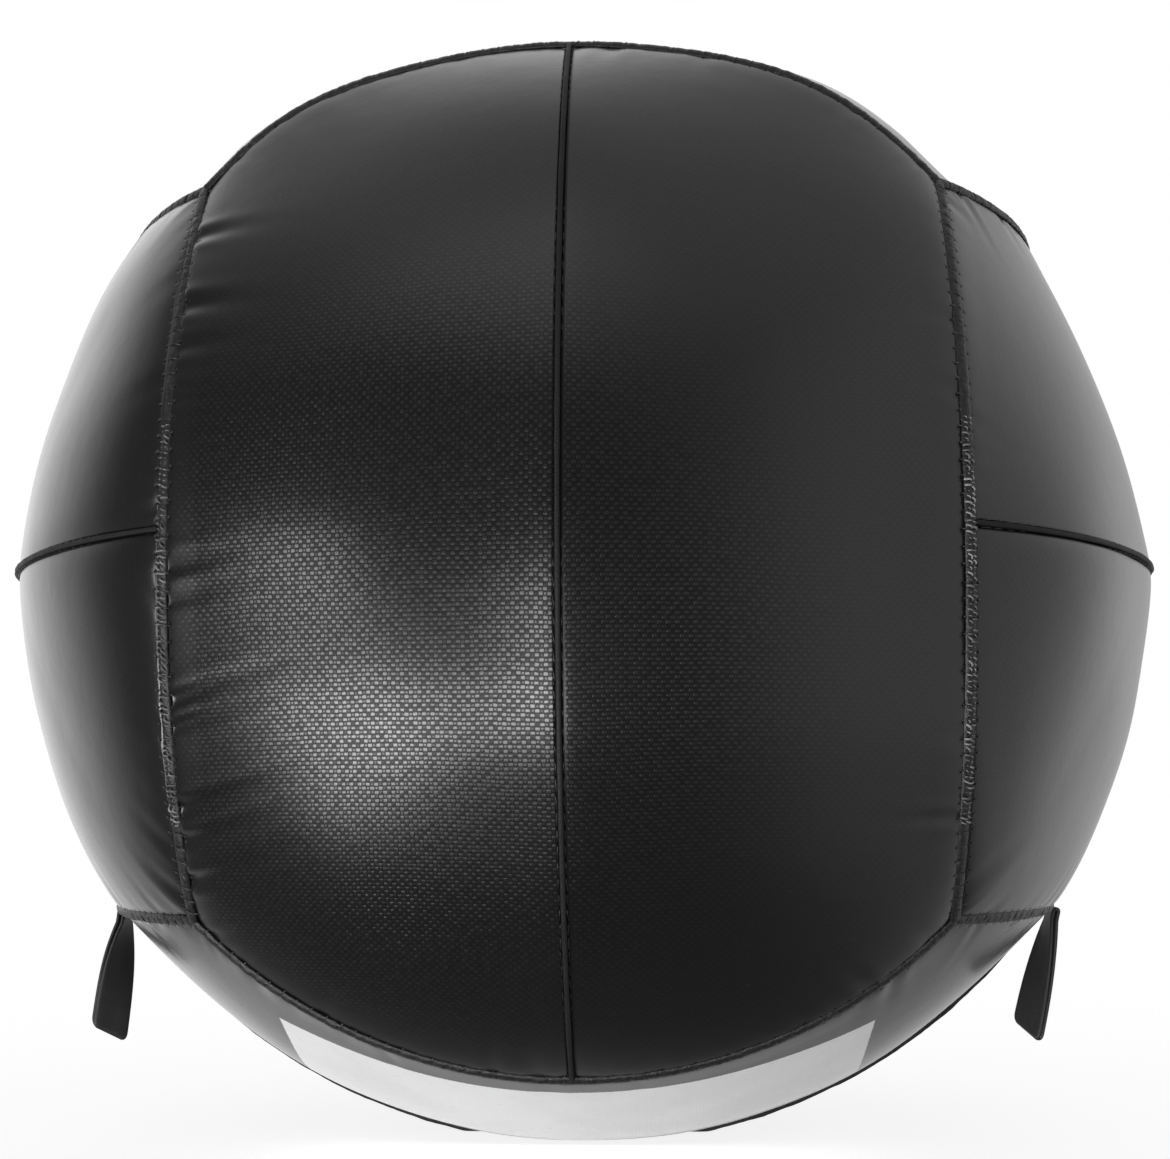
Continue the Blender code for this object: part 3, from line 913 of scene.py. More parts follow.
def weave_depth(face, direction):
    """How deep the weave shows at these directions. It is faint all over the two sides."""
    apart = np.degrees(np.arccos(np.clip(direction @ unit(np.array(stretched_at)), -1, 1)))
    stretched = np.clip((stretched_end - apart) / (stretched_end - stretched_full), 0, 1)
    stretched = stretched * (face not in ("left", "right"))
    return faint_weave + (1 - faint_weave) * smooth_step(stretched)


def on_both_faces(values):
    """One value for each point of a slab, whose two grids share their values."""
    return np.stack([values, values])


def build_cover(ball, look, seams):
    """Twelve cover panels of coated cloth, each in place of its CAD panel."""
    thinnest = 0.00015
    far_from_welt = 0.1
    beside_welt = seams.welt_width / 2 + 0.00005
    beside_border = seams.border_width / 2 + ball.gap / 3
    gaps = (beside_welt, beside_border, beside_border)
    columns, rows = ((64, 176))
    plain = cover_material("coated_cloth", look, seams, ball)
    printed = cover_material("coated_cloth_printed", look, seams, ball, printed=True)
    pitch = whip_pitch(ball, seams)
    for face, normal, seam, sides in faces:
        for side_name, side in sides:
            name = f"{face}_{side_name}"
            panel = (normal, seam, side)
            direction, flatness = panel_grid(ball, panel, columns, rows, gaps)
            height, marks, distance = cover_heights(ball, look, seams, name, panel, direction)
            under = np.minimum(-ball.panel_thickness, height - thinnest)
            outer = place(ball, direction, height, flatness)
            inner = place(ball, direction, under, flatness)
            piece = slab(f"{name}_cover", outer, inner)
            latitude = np.arcsin(np.clip(direction @ seam, -1, 1))
            longitude = np.arctan2(direction @ side, direction @ normal)
            cloth = np.stack([longitude * np.cos(latitude), latitude], -1) * ball.seam_radius
            give_uv(piece, "cloth", on_both_faces(cloth))
            centre = np.full_like(distance, far_from_welt)
            if side_name == sides[1][0]:
                centre = seam_distances(ball.seam_radius, panel, direction)[0]
            give_attribute(piece, "border_along", on_both_faces(marks + pitch / 2))
            give_attribute(piece, "border_distance", on_both_faces(distance))
            give_attribute(piece, "centre_distance", on_both_faces(centre))
            give_attribute(piece, "weave_depth", on_both_faces(weave_depth(face, direction)))
            material = printed if name == "bottom_front" else plain
            dress(piece, "ball", "cover_vinyl", material, f"{name}_panel")


def rounded_section(width, stand, depth, corner=4):
    """Half-round shouldered section of a strip in a seam: (sideways, height) pairs."""
    half = width / 2
    radius = min(half * 0.8, stand * 0.8)
    points = [(-half, -depth), (half, -depth)]
    for middle, start in ((half - radius, 0), (radius - half, 1)):
        for step in range(corner + 1):
            turn = math.pi / 2 * (start + step / corner)
            points.append((middle + radius * math.cos(turn), stand - radius + radius * math.sin(turn)))
    return np.array(points)


def domed_section(width, lap, stand, depth, steps=11):
    """Section of a soft rolled edge that laps over both sides of a seam: (sideways, height) pairs."""
    low = -0.00055
    half = width / 2
    points = [(-half, 1.6 * low), (-half, -depth), (half, -depth), (half, 1.6 * low)]
    for step in range(steps):
        turn = math.pi * step / (steps - 1)
        points.append(((half + lap) * math.cos(turn), low + (stand - low) * math.sin(turn)))
    return np.array(points)


def strip_rings(ball, direction, sideways, section, heights, widths):
    """Rings of a strip that lies on the ball, with its height and width varied along it."""
    rings = []
    for across, height in section:
        shifted = unit(direction + sideways * ((across * widths) / ball.seam_radius)[:, None])
        lift = height + heights * max(height, 0) / max(section[:, 1])
        rings.append(place(ball, shifted, lift))
    return np.stack(rings, 1)


def strip_uv(piece, rings, section):
    """A strip's own coordinates: round its section and along its run, in metres."""
    run = np.concatenate([[0], np.cumsum(np.linalg.norm(np.diff(rings.mean(1), axis=0), axis=1))])
    round_it = np.concatenate([[0], np.cumsum(np.linalg.norm(np.diff(section, axis=0), axis=1))])
    uv = np.stack(np.meshgrid(round_it, run), -1).reshape(-1, 2)
    give_uv(piece, "strip", np.concatenate([uv, [[0, 0], [0, run[-1]]]]))


def smooth_step(part):
    return part * part * (3 - 2 * part)


def smooth_noise(chance, count, step):
    """Smoothly varying numbers from -1 to 1, with a new one every few places."""
    knots = chance.uniform(-1, 1, max(count // step, 1) + 4)
    places = np.arange(count) / step + 1
    index = places.astype(int)
    part = smooth_step(places - index)
    return knots[index] * (1 - part) + knots[index + 1] * part


def stitch_tree():
    """Geometry Nodes: curved stitches of round thread, set along a line of points on the ball."""
    tree = bpy.data.node_groups.get("stitches_along_seam")
    if tree:
        return tree
    tree = bpy.data.node_groups.new("stitches_along_seam", "GeometryNodeTree")
    tree.is_modifier = True
    sockets = (
        ("Geometry", "Geometry", None),
        ("Count", "Int", 10),
        ("Half Length", "Float", 0.001),
        ("Half Slant", "Float", 0.0),
        ("Rise", "Float", 0.001),
        ("Sink", "Float", 0.001),
        ("Thread", "Float", 0.0005),
        ("Unevenness", "Float", 0.1),
        ("Seed", "Int", 1),
        ("Centre", "Vector", None),
        ("Material", "Material", None),
    )
    for name, kind, default in sockets:
        socket = tree.interface.new_socket(name, in_out="INPUT", socket_type=f"NodeSocket{kind}")
        if default is not None:
            socket.default_value = default
    tree.interface.new_socket("Geometry", in_out="OUTPUT", socket_type="NodeSocketGeometry")
    given = tree.nodes.new("NodeGroupInput").outputs
    ending = tree.nodes.new("NodeGroupOutput")
    line = add_node(tree, "GeometryNodeMeshToCurve", {"Mesh": given["Geometry"]}).outputs[0]
    inputs = {"Curve": line, "Count": given["Count"]}
    line = add_node(tree, "GeometryNodeResampleCurve", inputs, mode="COUNT").outputs[0]
    forward = tree.nodes.new("GeometryNodeInputTangent").outputs[0]
    position = tree.nodes.new("GeometryNodeInputPosition").outputs[0]
    outward = vector_maths(tree, "SUBTRACT", {0: position, 1: given["Centre"]})
    facing = add_node(
        tree,
        "FunctionNodeAxesToRotation",
        {"Primary Axis": outward, "Secondary Axis": forward},
        primary_axis="Z",
        secondary_axis="X",
    ).outputs[0]
    least = times(tree, given["Unevenness"], -1.0)
    wobble = add_node(
        tree, "FunctionNodeRandomValue", {"Min": least, "Max": given["Unevenness"], "Seed": given["Seed"]}
    )
    wobble.data_type = "FLOAT"
    tilt = add_node(tree, "ShaderNodeCombineXYZ", {2: wobble.outputs[1]}).outputs[0]
    tilt = add_node(tree, "FunctionNodeEulerToRotation", {0: tilt}).outputs[0]
    facing = add_node(
        tree, "FunctionNodeRotateRotation", {0: facing, 1: tilt}, rotation_space="LOCAL"
    ).outputs[0]
    sunk = times(tree, given["Sink"], -1.0)
    back = times(tree, given["Half Slant"], -1.0)
    near = times(tree, given["Half Length"], -1.0)
    start = add_node(tree, "ShaderNodeCombineXYZ", {0: back, 1: near, 2: sunk}).outputs[0]
    top = add_node(tree, "ShaderNodeCombineXYZ", {2: given["Rise"]}).outputs[0]
    finish = add_node(
        tree, "ShaderNodeCombineXYZ", {0: given["Half Slant"], 1: given["Half Length"], 2: sunk}
    ).outputs[0]
    inputs = {"Resolution": 6, "Start": start, "Middle": top, "End": finish}
    arch = add_node(tree, "GeometryNodeCurveQuadraticBezier", inputs).outputs[0]
    radius = maths(tree, "DIVIDE", given["Thread"], 2.0)
    ring = add_node(tree, "GeometryNodeCurvePrimitiveCircle", {"Resolution": 6, "Radius": radius}).outputs[0]
    stitch = add_node(
        tree, "GeometryNodeCurveToMesh", {"Curve": arch, "Profile Curve": ring, "Fill Caps": True}
    ).outputs[0]
    smallest = maths(tree, "SUBTRACT", 1.0, given["Unevenness"])
    largest = maths(tree, "ADD", 1.0, given["Unevenness"])
    size = add_node(
        tree,
        "FunctionNodeRandomValue",
        {"Min": smallest, "Max": largest, "Seed": maths(tree, "ADD", given["Seed"], 5.0)},
    )
    size.data_type = "FLOAT"
    placed = add_node(
        tree,
        "GeometryNodeInstanceOnPoints",
        {"Points": line, "Instance": stitch, "Rotation": facing, "Scale": size.outputs[1]},
    ).outputs[0]
    real = add_node(tree, "GeometryNodeRealizeInstances", {"Geometry": placed}).outputs[0]
    smooth = add_node(tree, "GeometryNodeSetShadeSmooth", {"Geometry": real}).outputs[0]
    coloured = add_node(
        tree, "GeometryNodeSetMaterial", {"Geometry": smooth, "Material": given["Material"]}
    ).outputs[0]
    tree.links.new(coloured, ending.inputs["Geometry"])
    return tree


def sew(name, line, ball, thread, values):
    """Stitches along a line of points, as a plain mesh."""
    values = values | {"Centre": (0, 0, centre_height(ball)), "Material": thread}
    mesh = bpy.data.meshes.new(name)
    mesh.from_pydata(line.tolist(), [(point, point + 1) for point in range(len(line) - 1)], [])
    guide = new_object(f"{name}_line", mesh)
    tree = stitch_tree()
    modifier = guide.modifiers.new("Stitches", "NODES")
    modifier.node_group = tree
    for item in tree.interface.items_tree:
        if item.item_type == "SOCKET" and item.in_out == "INPUT" and item.name in values:
            modifier[item.identifier] = values[item.name]
    evaluated = guide.evaluated_get(bpy.context.evaluated_depsgraph_get())
    made = bpy.data.meshes.new_from_object(evaluated)
    made.name = name
    bpy.data.objects.remove(guide)
    bpy.data.meshes.remove(mesh)
    if not len(made.polygons):
        raise RuntimeError(f"{name}: the stitches came out empty")
    return new_object(name, made)


def join(name, pieces):
    """Several plain meshes as one."""
    with bpy.context.temp_override(active_object=pieces[0], selected_editable_objects=pieces):
        bpy.ops.object.join()
    pieces[0].name = name
    pieces[0].data.name = name
    return pieces[0]


def build_welts(ball, seams):
    """The flat welt in each centre seam, and the running stitches on both sides of it."""
    material = welt_material(seams)
    thread = thread_material(seams)
    section = rounded_section(seams.welt_width, seams.welt_stand, ball.panel_thickness)
    clear_of_border = 0.0002
    beside_welt = 0.0003
    thread_sunk = -0.00035
    end_trim = seams.border_width / 2 + clear_of_border
    end_share = 1 - end_trim / (ball.seam_radius * centre_seam_half_angle)
    rows = 420
    for number, (face, normal, seam, _) in enumerate(faces):
        chance = np.random.default_rng(40 + number)
        along = np.linspace(-end_share, end_share, rows)
        direction = centre_seam_direction(normal, seam, along)
        sideways = np.cross(seam, normal)
        heights = 0.00014 * smooth_noise(chance, rows, 7) + 0.00005 * smooth_noise(chance, rows, 2)
        widths = 1 + 0.07 * smooth_noise(chance, rows, 6)
        rings = strip_rings(ball, direction, sideways, section, heights, widths)
        piece = swept(f"{face}_welt_strip", rings)
        strip_uv(piece, rings, section)
        dress(piece, "ball", "welt_vinyl", material, f"{face}_welt")
        length_run = 2 * end_share * ball.seam_radius * centre_seam_half_angle
        rows_of_thread = []
        for side in (-1, 1):
            offset = side * (seams.welt_width / 2 + beside_welt)
            shifted = unit(direction + sideways * (offset / ball.seam_radius))
            line = place(ball, shifted, thread_sunk)
            values = {
                "Count": round(length_run / seams.run_pitch),
                "Half Length": 0.00012,
                "Half Slant": seams.run_pitch * 0.36,
                "Rise": 0.0004,
                "Sink": 0.0004,
                "Thread": seams.run_thread,
                "Unevenness": 0.12,
                "Seed": 10 * number + side,
            }
            rows_of_thread.append(sew(f"{face}_row_{side}", line, ball, thread, values))
        stitches = join(f"{face}_welt_thread", rows_of_thread)
        dress(stitches, "ball", "seam_thread", thread)


def border_pieces():
    """Each border seam as (name, normal, middle, sideways, whether it is cut at a loop)."""
    for face, normal, seam, sides in faces:
        axis_name = "xyz"[int(np.argmax(np.abs(seam)))]
        for end_name, towards in zip(end_names[axis_name], (-seam, seam)):
            name = f"{face}_{end_name}"
            if face == "bottom":
                for side_name, side in sides:
                    yield f"{name}_{side_name}", normal, towards, side, True
            else:
                yield name, normal, towards, sides[0][1], False


def build_border_seams(ball, seams, loops):
    """The gathered edge along each border seam, and the overcast thread over it."""
    material = edge_material(seams)
    thread = thread_material(seams)
    section = domed_section(seams.border_width, seams.border_lap, seams.border_stand, ball.panel_thickness)
    half = seam_arc_length(ball)
    pitch = whip_pitch(ball, seams)
    count = whip_count(ball, seams)
    pinch_length = 0.0007
    stitch_reach = seams.border_width / 2 + seams.border_lap + 0.0003
    root_trim = loops.width / 2 + 0.0005
    first_stitch = root_trim + 0.001
    for number, (name, normal, middle, sideways, cut) in enumerate(border_pieces()):
        chance = np.random.default_rng(90 + number)
        start = root_trim / half if cut else -1.0
        rows = 210 if cut else 420
        along = np.linspace(start, 1, rows)
        direction = border_direction(normal, middle, sideways, along)
        across = tangent(direction, normal)
        past = (along * half / pitch + 0.5) % 1 - 0.5
        pinch = np.exp(-((0.5 - np.abs(past)) * pitch / pinch_length) ** 2)
        heights = -0.00018 * pinch + 0.00012 * smooth_noise(chance, rows, 3)
        heights += 0.00006 * smooth_noise(chance, rows, 1)
        widths = 1 - 0.04 * pinch + 0.05 * smooth_noise(chance, rows, 4)
        rings = strip_rings(ball, direction, across, section, heights, widths)
        piece = swept(f"{name}_border_edge", rings)
        dress(piece, "ball", "seam_thread", material, f"{name}_stitches")
        places = [(place_number + 0.5) * pitch for place_number in range(count // 2)]
        if cut:
            places = [at for at in places if at > first_stitch]
        else:
            places = [-at for at in reversed(places)] + places
        shares = np.linspace(places[0], places[-1], len(places)) / half
        line = place(ball, border_direction(normal, middle, sideways, shares), 0.0)
        values = {
            "Count": len(places),
            "Half Length": stitch_reach,
            "Half Slant": 0.0005,
            "Rise": 0.0015,
            "Sink": 0.0007,
            "Thread": seams.whip_thread,
            "Unevenness": 0.12,
            "Seed": 200 + number,
        }
        stitches = sew(f"{name}_border_thread", line, ball, thread, values)
        dress(stitches, "ball", "seam_thread", thread)
    build_closing_stitches(ball, seams, half)


def build_closing_stitches(ball, seams, half):
    """Looser hand stitches where the cover was sewn shut, over two of the border edges."""
    start, finish, pitch = -0.70, 0.24, 0.0015
    # The closing thread's colour is lifted ninefold: a painted highlight for its glints.
    thread = thread_material(seams, "closing_thread", 9.0)
    for number, (name, normal) in enumerate((("left", -x_axis), ("right", x_axis))):
        along = np.linspace(start, finish, 40)
        direction = border_direction(normal, -y_axis, z_axis, along)
        across = tangent(direction, normal)
        rows_of_thread = []
        for row, offset in enumerate((-0.0007, 0.0007)):
            line = place(ball, unit(direction + across * (offset / ball.seam_radius)), 0.0003)
            values = {
                "Count": round(half * (finish - start) / pitch) + 3 * row,
                "Half Length": 0.0006,
                "Half Slant": 0.0003,
                "Rise": 0.0011,
                "Sink": 0.0003,
                "Thread": 0.00042,
                "Unevenness": 0.6,
                "Seed": 300 + 10 * row + number,
            }
            rows_of_thread.append(sew(f"{name}_closing_row_{row}", line, ball, thread, values))
        stitches = join(f"{name}_front_closing_thread", rows_of_thread)
        dress(stitches, "ball", "seam_thread", thread)


def loop_axis(ball, loops, end):
    """Middle of the line that a loop bends about, over the end of the bottom centre seam."""
    strap_radius = loops.thickness + loops.slit / 2
    height = loops.root_seat + loops.root_height + ball.gap + strap_radius
    return place(ball, end[None], 0.0)[0] + end * height


def build_loop(ball, loops, name, end, lean, twist, skew, material):
    """Webbing round a long flat ring, twisted on its way down."""
    strap_radius = loops.thickness + loops.slit / 2
    leg = loops.reach - strap_radius
    leg_rows, fold_rows = 70, 10
    corner_reach = 0.0016
    half_turn = [math.pi * row / fold_rows for row in range(fold_rows)]
    outline = [(1.0, 0.0, leg * row / leg_rows) for row in range(leg_rows)]
    outline += [(math.cos(turn), math.sin(turn), leg) for turn in half_turn]
    outline += [(-1.0, 0.0, leg * row / leg_rows) for row in range(leg_rows, 0, -1)]
    outline += [(-math.cos(turn), -math.sin(turn), 0.0) for turn in half_turn]
    outline = np.array(outline)
    inner_radius = strap_radius - loops.thickness
    half = loops.width / 2
    round_off = loops.thickness / 2
    profile = []
    for sign, radius in ((1, strap_radius), (-1, inner_radius)):
        for step in np.linspace(-1, 1, 15):
            profile.append((sign * step * (half - round_off), radius))
        for turn in (60, 90, 120):
            bend = math.radians(turn)
            middle_radius = (strap_radius + inner_radius) / 2
            wide = sign * (half - round_off + round_off * math.sin(bend))
            profile.append((wide, middle_radius + sign * round_off * math.cos(bend)))
    profile = np.array(profile)
    down = np.array([-math.sin(lean), 0, -math.cos(lean)])
    flat = np.cross(y_axis, down)
    radius = profile[None, :, 1]
    thick = outline[:, 0, None] * radius
    run = outline[:, 2, None] + outline[:, 1, None] * radius
    part = np.clip((run - loops.twist_start) / (leg - loops.twist_start), 0, 1)
    corner = np.clip((run - leg + corner_reach) / (corner_reach + strap_radius), 0, 1)
    wide = profile[None, :, 0] * (1 - 0.2 * corner**2)
    turn = (twist * part * (2 - part))[..., None]
    across = y_axis * np.cos(turn) - flat * np.sin(turn)
    through = flat * np.cos(turn) + y_axis * np.sin(turn)
    reach = (run - wide * skew * part)[..., None]
    points = loop_axis(ball, loops, end) + down * reach
    points = points + across * np.broadcast_to(wide, run.shape)[..., None] + through * thick[..., None]
    rows, around = points.shape[:2]
    index = np.arange(rows * around).reshape(rows, around)
    right = np.roll(index, -1, axis=1)
    quads = np.stack([index, right, np.roll(right, -1, axis=0), np.roll(index, -1, axis=0)], -1)
    piece = new_piece(f"{name}_loop_band", points, quads.reshape(-1, 4).tolist())
    travelled = np.concatenate([[0], np.cumsum(np.linalg.norm(np.diff(points.mean(1), axis=0), axis=1))])
    uv = np.stack([np.broadcast_to(wide, run.shape), np.broadcast_to(travelled[:, None], run.shape)], -1)
    give_uv(piece, "strip", uv)
    dress(piece, f"{name}_loop", "loop_webbing", material, f"{name}_loop")


def build_root(ball, loops, name, end, material):
    """The sewn root of a loop: folded webbing that comes up out of the seam."""
    across = np.cross(end, y_axis)
    base = place(ball, end[None], 0.0)[0]
    strap_radius = loops.thickness + loops.slit / 2
    lap_into_loop = 0.00012
    top = loops.root_seat + loops.root_height + ball.gap + lap_into_loop
    levels = (
        (-0.0010, 0.0046, 0.0014),
        (0.0, 0.0050, 0.0016),
        (loops.root_seat, loops.width * 0.9, 2 * strap_radius * 0.8),
        (loops.root_seat + 0.0003, loops.width * 0.98, 2 * strap_radius * 0.97),
        (loops.root_seat + 0.0009, loops.width, 2 * strap_radius),
        (top - 0.0006, loops.width, 2 * strap_radius),
        (top - 0.0002, loops.width * 0.99, 2 * strap_radius * 0.8),
        (top, loops.width * 0.97, 2 * strap_radius * 0.45),
    )
    turns = np.linspace(0, 2 * math.pi, 48, endpoint=False)
    squareness = 0.35
    square_x = np.sign(np.cos(turns)) * np.abs(np.cos(turns)) ** squareness
    square_y = np.sign(np.sin(turns)) * np.abs(np.sin(turns)) ** squareness
    rings = []
    for height, width, thickness in levels:
        wide = np.outer(square_x * width / 2, y_axis)
        thick = np.outer(square_y * thickness / 2, across)
        rings.append(base + end * height + wide + thick)
    rings = np.array(rings)
    piece = swept(f"{name}_root_fold", rings)
    uv = np.stack([rings @ y_axis, (rings - base) @ end], -1).reshape(-1, 2)
    give_uv(piece, "strip", np.concatenate([uv, uv[:2]]))
    dress(piece, "ball", "loop_webbing", material, f"{name}_loop_root")


def build_loops(ball, loops):
    material = webbing_material(loops)
    sides = (
        ("left", -x_axis, loops.left_lean, loops.left_twist, loops.left_skew),
        ("right", x_axis, loops.right_lean, loops.right_twist, loops.right_skew),
    )
    for name, towards, lean, twist, skew in sides:
        end = -z_axis * math.cos(centre_seam_half_angle) + towards * math.sin(centre_seam_half_angle)
        build_loop(ball, loops, name, end, lean, twist, skew, material)
        build_root(ball, loops, name, end, material)


def build_pads(ball, material):
    """Twelve foam pads, a little crowned, each in place of its CAD pad."""
    clear = 0.0004
    depth = ball.panel_thickness + ball.gap
    for face, normal, seam, sides in faces:
        for side_name, side in sides:
            panel = (normal, seam, side)
            direction, flatness = panel_grid(ball, panel, 20, 44, (clear, clear, clear))
            centre, side_edge, end_edge = seam_distances(ball.seam_radius, panel, direction)
            border = np.minimum(side_edge, end_edge)
            edge = np.minimum(centre, border)
            rounding = 0.0012 * np.exp(-np.maximum(edge - clear, 0) / 0.0016)
            sag = np.minimum(swell(f"{face}_{side_name}", np.maximum(border, 0), centre), 0)
            outer = place(ball, direction, -depth - rounding + sag, flatness)
            inner = place(ball, direction, rounding - depth - ball.pad_thickness, flatness)
            piece = slab(f"{face}_{side_name}_foam", outer, inner)
            dress(piece, "ball", "foam_padding", material, f"{face}_{side_name}_pad")


def dress_inside(ball):
    """Pads in foam, and the fibre, the bag and its sand in their own materials."""
    foam = inner_material("grey_foam", (0.30, 0.31, 0.33), (0.14, 0.145, 0.16), 0.0011, 0.0004, 0.85)
    fibre = inner_material("packed_fibre", (0.58, 0.56, 0.52), (0.34, 0.32, 0.29), 0.0026, 0.0012, 0.9)
    cloth = inner_material("bag_canvas", (0.21, 0.17, 0.11), (0.13, 0.10, 0.06), 0.0008, 0.0003, 0.85)
    sand = inner_material("dry_sand", (0.42, 0.32, 0.19), (0.22, 0.16, 0.09), 0.0007, 0.0004, 0.9)
    build_pads(ball, foam)
    for node, material in (
        ("upper_filling", fibre),
        ("lower_filling", fibre),
        ("upper_weight_bag", cloth),
        ("lower_weight_bag", cloth),
        ("weight_load", sand),
    ):
        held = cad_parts[node]
        held.data.materials.clear()
        held.data.materials.append(material)


def mix_shader(tree, factor, first, second):
    return add_node(tree, "ShaderNodeMixShader", {0: factor, 1: first, 2: second}).outputs[0]


def build_floor(studio):
    """A plain pale floor that keeps the ball's shadow, and is seen through from below."""
    mesh = bpy.data.meshes.new("floor")
    reach, level, grey = 20.0, -0.0003, 0.45
    turns = ((-1, -1), (1, -1), (1, 1), (-1, 1))
    mesh.from_pydata([(reach * x, reach * y, level) for x, y in turns], [], [(0, 1, 2, 3)])
    floor = new_object("floor", mesh)
    floor.visible_glossy = False
    floor.visible_shadow = False
    material = bpy.data.materials.new("pale_floor")
    material.use_nodes = True
    tree = material.node_tree
    tree.nodes.clear()
    matte = add_node(tree, "ShaderNodeBsdfDiffuse", {"Color": (grey, grey, grey, 1)}).outputs[0]
    lift_to_white = 1.0 - grey * studio.room_light
    glow = add_node(tree, "ShaderNodeEmission", {"Strength": lift_to_white}).outputs[0]
    light_path = tree.nodes.new("ShaderNodeLightPath").outputs
    hidden = add_node(tree, "ShaderNodeBsdfTransparent").outputs[0]
    lifted = add_node(tree, "ShaderNodeAddShader", {0: matte, 1: glow}).outputs[0]
    seen = mix_shader(tree, light_path["Is Camera Ray"], matte, lifted)
    under = add_node(tree, "ShaderNodeNewGeometry").outputs["Backfacing"]
    shown = mix_shader(tree, under, seen, hidden)
    ending = tree.nodes.new("ShaderNodeOutputMaterial")
    tree.links.new(shown, ending.inputs["Surface"])
    mesh.materials.append(material)


def build_room(studio):
    """White to the camera, even for plain light, and a studio's lit and dark sides for gloss."""
    world = bpy.data.worlds.new("studio_room")
    bpy.context.scene.world = world
    world.use_nodes = True
    tree = world.node_tree
    tree.nodes.clear()
    light_path = tree.nodes.new("ShaderNodeLightPath").outputs
    direction = tree.nodes.new("ShaderNodeTexCoord").outputs["Generated"]
    apart = add_node(tree, "ShaderNodeSeparateXYZ", {0: direction}).outputs
    above = ramp(tree, apart[2], 0.45, 0.85, 0.0, 0.23)
    right = ramp(tree, apart[0], 0.35, 0.8, 0.0, 0.37)
    level = maths(tree, "ADD", maths(tree, "MAXIMUM", above, right), 0.14)
    level = times(tree, level, ramp(tree, apart[0], -0.9, -0.4, 0.4, 1.0))
    level = times(tree, level, ramp(tree, apart[2], -0.9, -0.4, 0.3, 1.0))
    back = ramp(tree, apart[1], 0.12, 0.92, 0.0, 1.15)
    back = times(tree, back, ramp(tree, apart[0], -0.1, 0.5, 1.0, 0.36))
    back = times(tree, back, ramp(tree, apart[2], -0.5, 0.0, 0.4, 1.0))
    level = maths(tree, "ADD", level, back)
    window = ramp(tree, apart[1], -0.5, -0.2, 0.35, 0.0)
    window = times(tree, window, ramp(tree, apart[2], 0.45, 0.75))
    window = times(tree, window, ramp(tree, apart[0], 0.0, 0.4, 1.0, 0.0))
    level = maths(tree, "ADD", level, window)
    gloss, even, white = (
        add_node(tree, "ShaderNodeBackground", {"Color": (1, 1, 1, 1), "Strength": strength}).outputs[0]
        for strength in (level, studio.room_light, 1.0)
    )
    lit = mix_shader(tree, light_path["Is Glossy Ray"], even, gloss)
    clear = maths(tree, "MAXIMUM", light_path["Is Camera Ray"], light_path["Is Transmission Ray"])
    seen = mix_shader(tree, clear, lit, white)
    ending = tree.nodes.new("ShaderNodeOutputWorld")
    tree.links.new(seen, ending.inputs["Surface"])


# Soft lamps: (name, azimuth, elevation, half width, half height, level), the angles in degrees.
lamps = (
    ("softbox_wide", -20, -28.4, 21, 9.0, 6.4),
    ("softbox_bright", -49, -28.4, 7, 11.5, 10.4),
    ("softbox_upper", -50, -3, 7, 10, 5.4),
    ("softbox_right", -15, -17, 6, 12, 6.0),
)


def build_lamps(ball, studio):
    """Soft rectangular lamps in front of the ball, turned to its middle."""
    for name, azimuth, elevation, half_width, half_height, level in lamps:
        width = 2 * studio.lamp_distance * math.tan(math.radians(half_width))
        height = 2 * studio.lamp_distance * math.tan(math.radians(half_height))
        light = bpy.data.lights.new(name, "AREA")
        light.shape = "RECTANGLE"
        light.size = width
        light.size_y = height
        light.energy = studio.lamp_level * level * math.pi * width * height
        lamp = new_object(name, light)
        turn, rise = math.radians(azimuth), math.radians(elevation)
        away = Vector((math.sin(turn) * math.cos(rise), -math.cos(turn) * math.cos(rise), math.sin(rise)))
        lamp.location = Vector((0, 0, centre_height(ball))) + away * studio.lamp_distance
        lamp.rotation_euler = away.to_track_quat("Z", "Y").to_euler()
        lamp.visible_camera = False


def build_camera(ball, studio):
    """The camera at the photograph's viewing angle."""
    turn = Matrix.Rotation(studio.camera_roll, 3, "Z") @ Matrix.Rotation(studio.camera_yaw, 3, "Y")
    turn = (turn @ Matrix.Rotation(studio.camera_pitch, 3, "X")).transposed()
    upright = Matrix(((1, 0, 0), (0, 0, -1), (0, 1, 0)))
    offset = Vector((studio.camera_right, studio.camera_up, studio.camera_distance))
    camera_data = bpy.data.cameras.new("camera")
    camera_data.lens = studio.lens
    camera = new_object("camera", camera_data)
    matrix = (upright @ turn).to_4x4()
    matrix.translation = upright @ (turn @ offset) + Vector((0, 0, centre_height(ball)))
    camera.matrix_world = matrix
    camera_data.clip_start = 0.01
    bpy.context.scene.camera = camera
    bpy.context.scene.view_settings.view_transform = "Standard"


class WALLBALL_OT_cover(bpy.types.Operator):
    """Make the twelve panels of the cover"""

    bl_idname = "wallball.cover"
    bl_label = "Cover"

    def execute(self, context):
        scene = context.scene
        build_cover(scene.wall_ball_shape, scene.wall_ball_cover, scene.wall_ball_seams)
        return {"FINISHED"}


class WALLBALL_OT_welts(bpy.types.Operator):
    """Make the welts of the centre seams and the stitches beside them"""

    bl_idname = "wallball.welts"
    bl_label = "Welts"

    def execute(self, context):
        build_welts(context.scene.wall_ball_shape, context.scene.wall_ball_seams)
        return {"FINISHED"}


class WALLBALL_OT_border_seams(bpy.types.Operator):
    """Make the overcast border seams"""

    bl_idname = "wallball.border_seams"
    bl_label = "Border Seams"

    def execute(self, context):
        scene = context.scene
        build_border_seams(scene.wall_ball_shape, scene.wall_ball_seams, scene.wall_ball_loops)
        return {"FINISHED"}


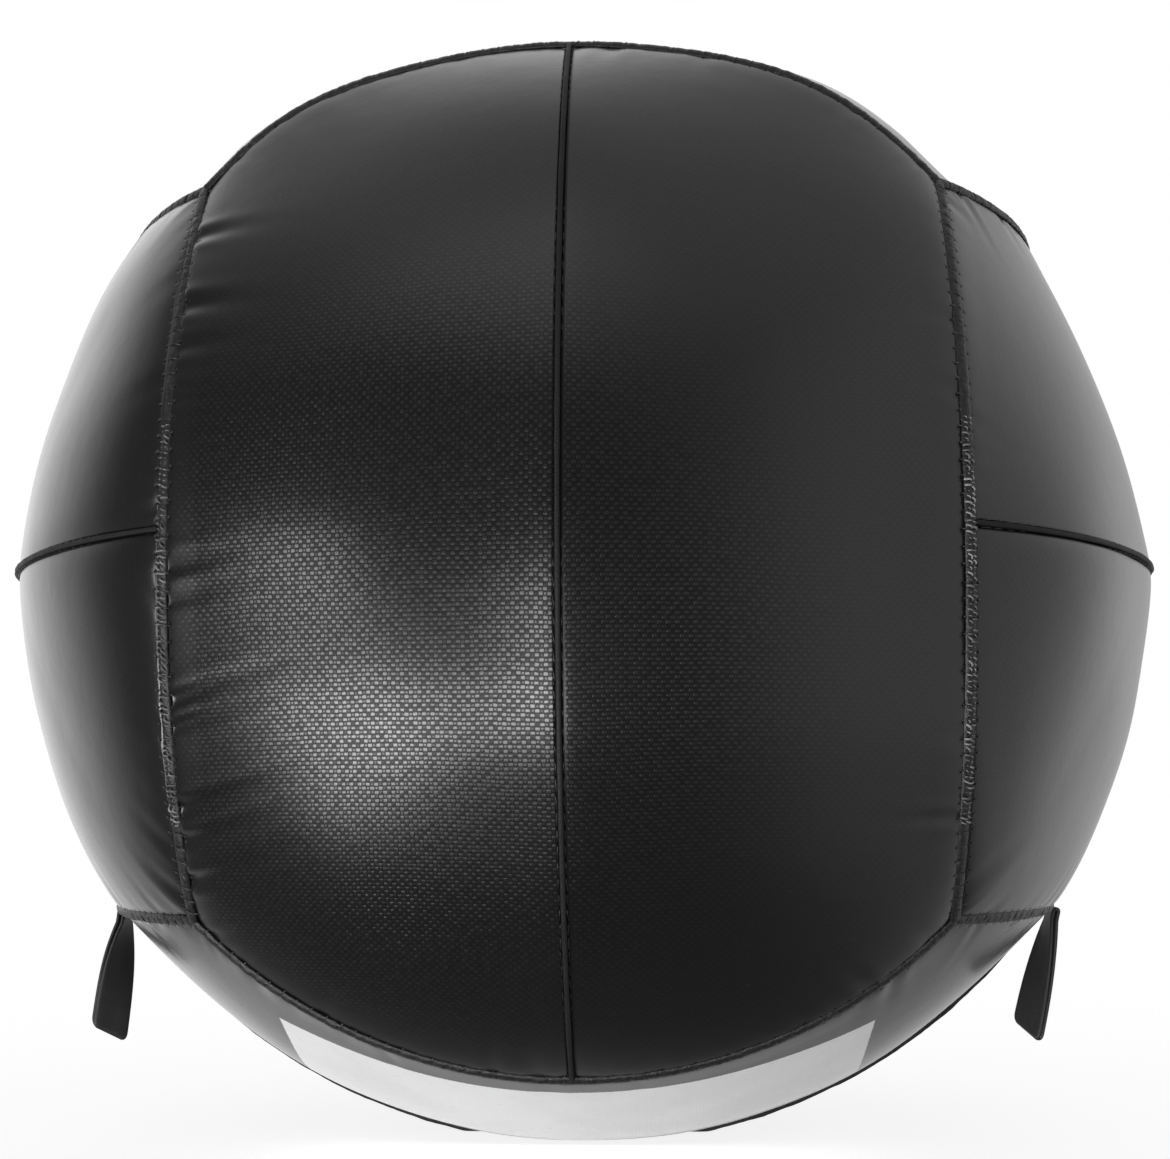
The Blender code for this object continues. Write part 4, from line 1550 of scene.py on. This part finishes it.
class WALLBALL_OT_loops(bpy.types.Operator):
    """Make the two webbing loops and their roots"""

    bl_idname = "wallball.loops"
    bl_label = "Loops"

    def execute(self, context):
        build_loops(context.scene.wall_ball_shape, context.scene.wall_ball_loops)
        return {"FINISHED"}


class WALLBALL_OT_inside(bpy.types.Operator):
    """Make the foam pads and give the fillings their materials"""

    bl_idname = "wallball.inside"
    bl_label = "Inside"

    def execute(self, context):
        dress_inside(context.scene.wall_ball_shape)
        return {"FINISHED"}


class WALLBALL_OT_studio(bpy.types.Operator):
    """Make the floor, the light and the camera"""

    bl_idname = "wallball.studio"
    bl_label = "Studio"

    def execute(self, context):
        scene = context.scene
        build_floor(scene.wall_ball_studio)
        build_room(scene.wall_ball_studio)
        build_lamps(scene.wall_ball_shape, scene.wall_ball_studio)
        build_camera(scene.wall_ball_shape, scene.wall_ball_studio)
        return {"FINISHED"}


settings = {
    "wall_ball_shape": BallShape,
    "wall_ball_cover": CoverLook,
    "wall_ball_seams": SeamLook,
    "wall_ball_loops": LoopShape,
    "wall_ball_studio": StudioSet,
}
operators = (
    WALLBALL_OT_cover,
    WALLBALL_OT_welts,
    WALLBALL_OT_border_seams,
    WALLBALL_OT_loops,
    WALLBALL_OT_inside,
    WALLBALL_OT_studio,
)


class WALLBALL_PT_sidebar(bpy.types.Panel):
    """Lists the makers of the wall ball"""

    bl_label = "Wall Ball"
    bl_space_type = "VIEW_3D"
    bl_region_type = "UI"
    bl_category = "Wall Ball"

    def draw(self, context):
        for operator in operators:
            self.layout.operator(operator.bl_idname)


classes = (*settings.values(), *operators, WALLBALL_PT_sidebar)


def register():
    for made in classes:
        bpy.utils.register_class(made)
    for name, group in settings.items():
        setattr(bpy.types.Scene, name, bpy.props.PointerProperty(type=group))


def unregister():
    for name in settings:
        delattr(bpy.types.Scene, name)
    for made in reversed(classes):
        bpy.utils.unregister_class(made)


def main():
    register()
    bpy.ops.wallball.cover()
    bpy.ops.wallball.welts()
    bpy.ops.wallball.border_seams()
    bpy.ops.wallball.loops()
    bpy.ops.wallball.inside()
    bpy.ops.wallball.studio()


if __name__ == "__main__":
    main()
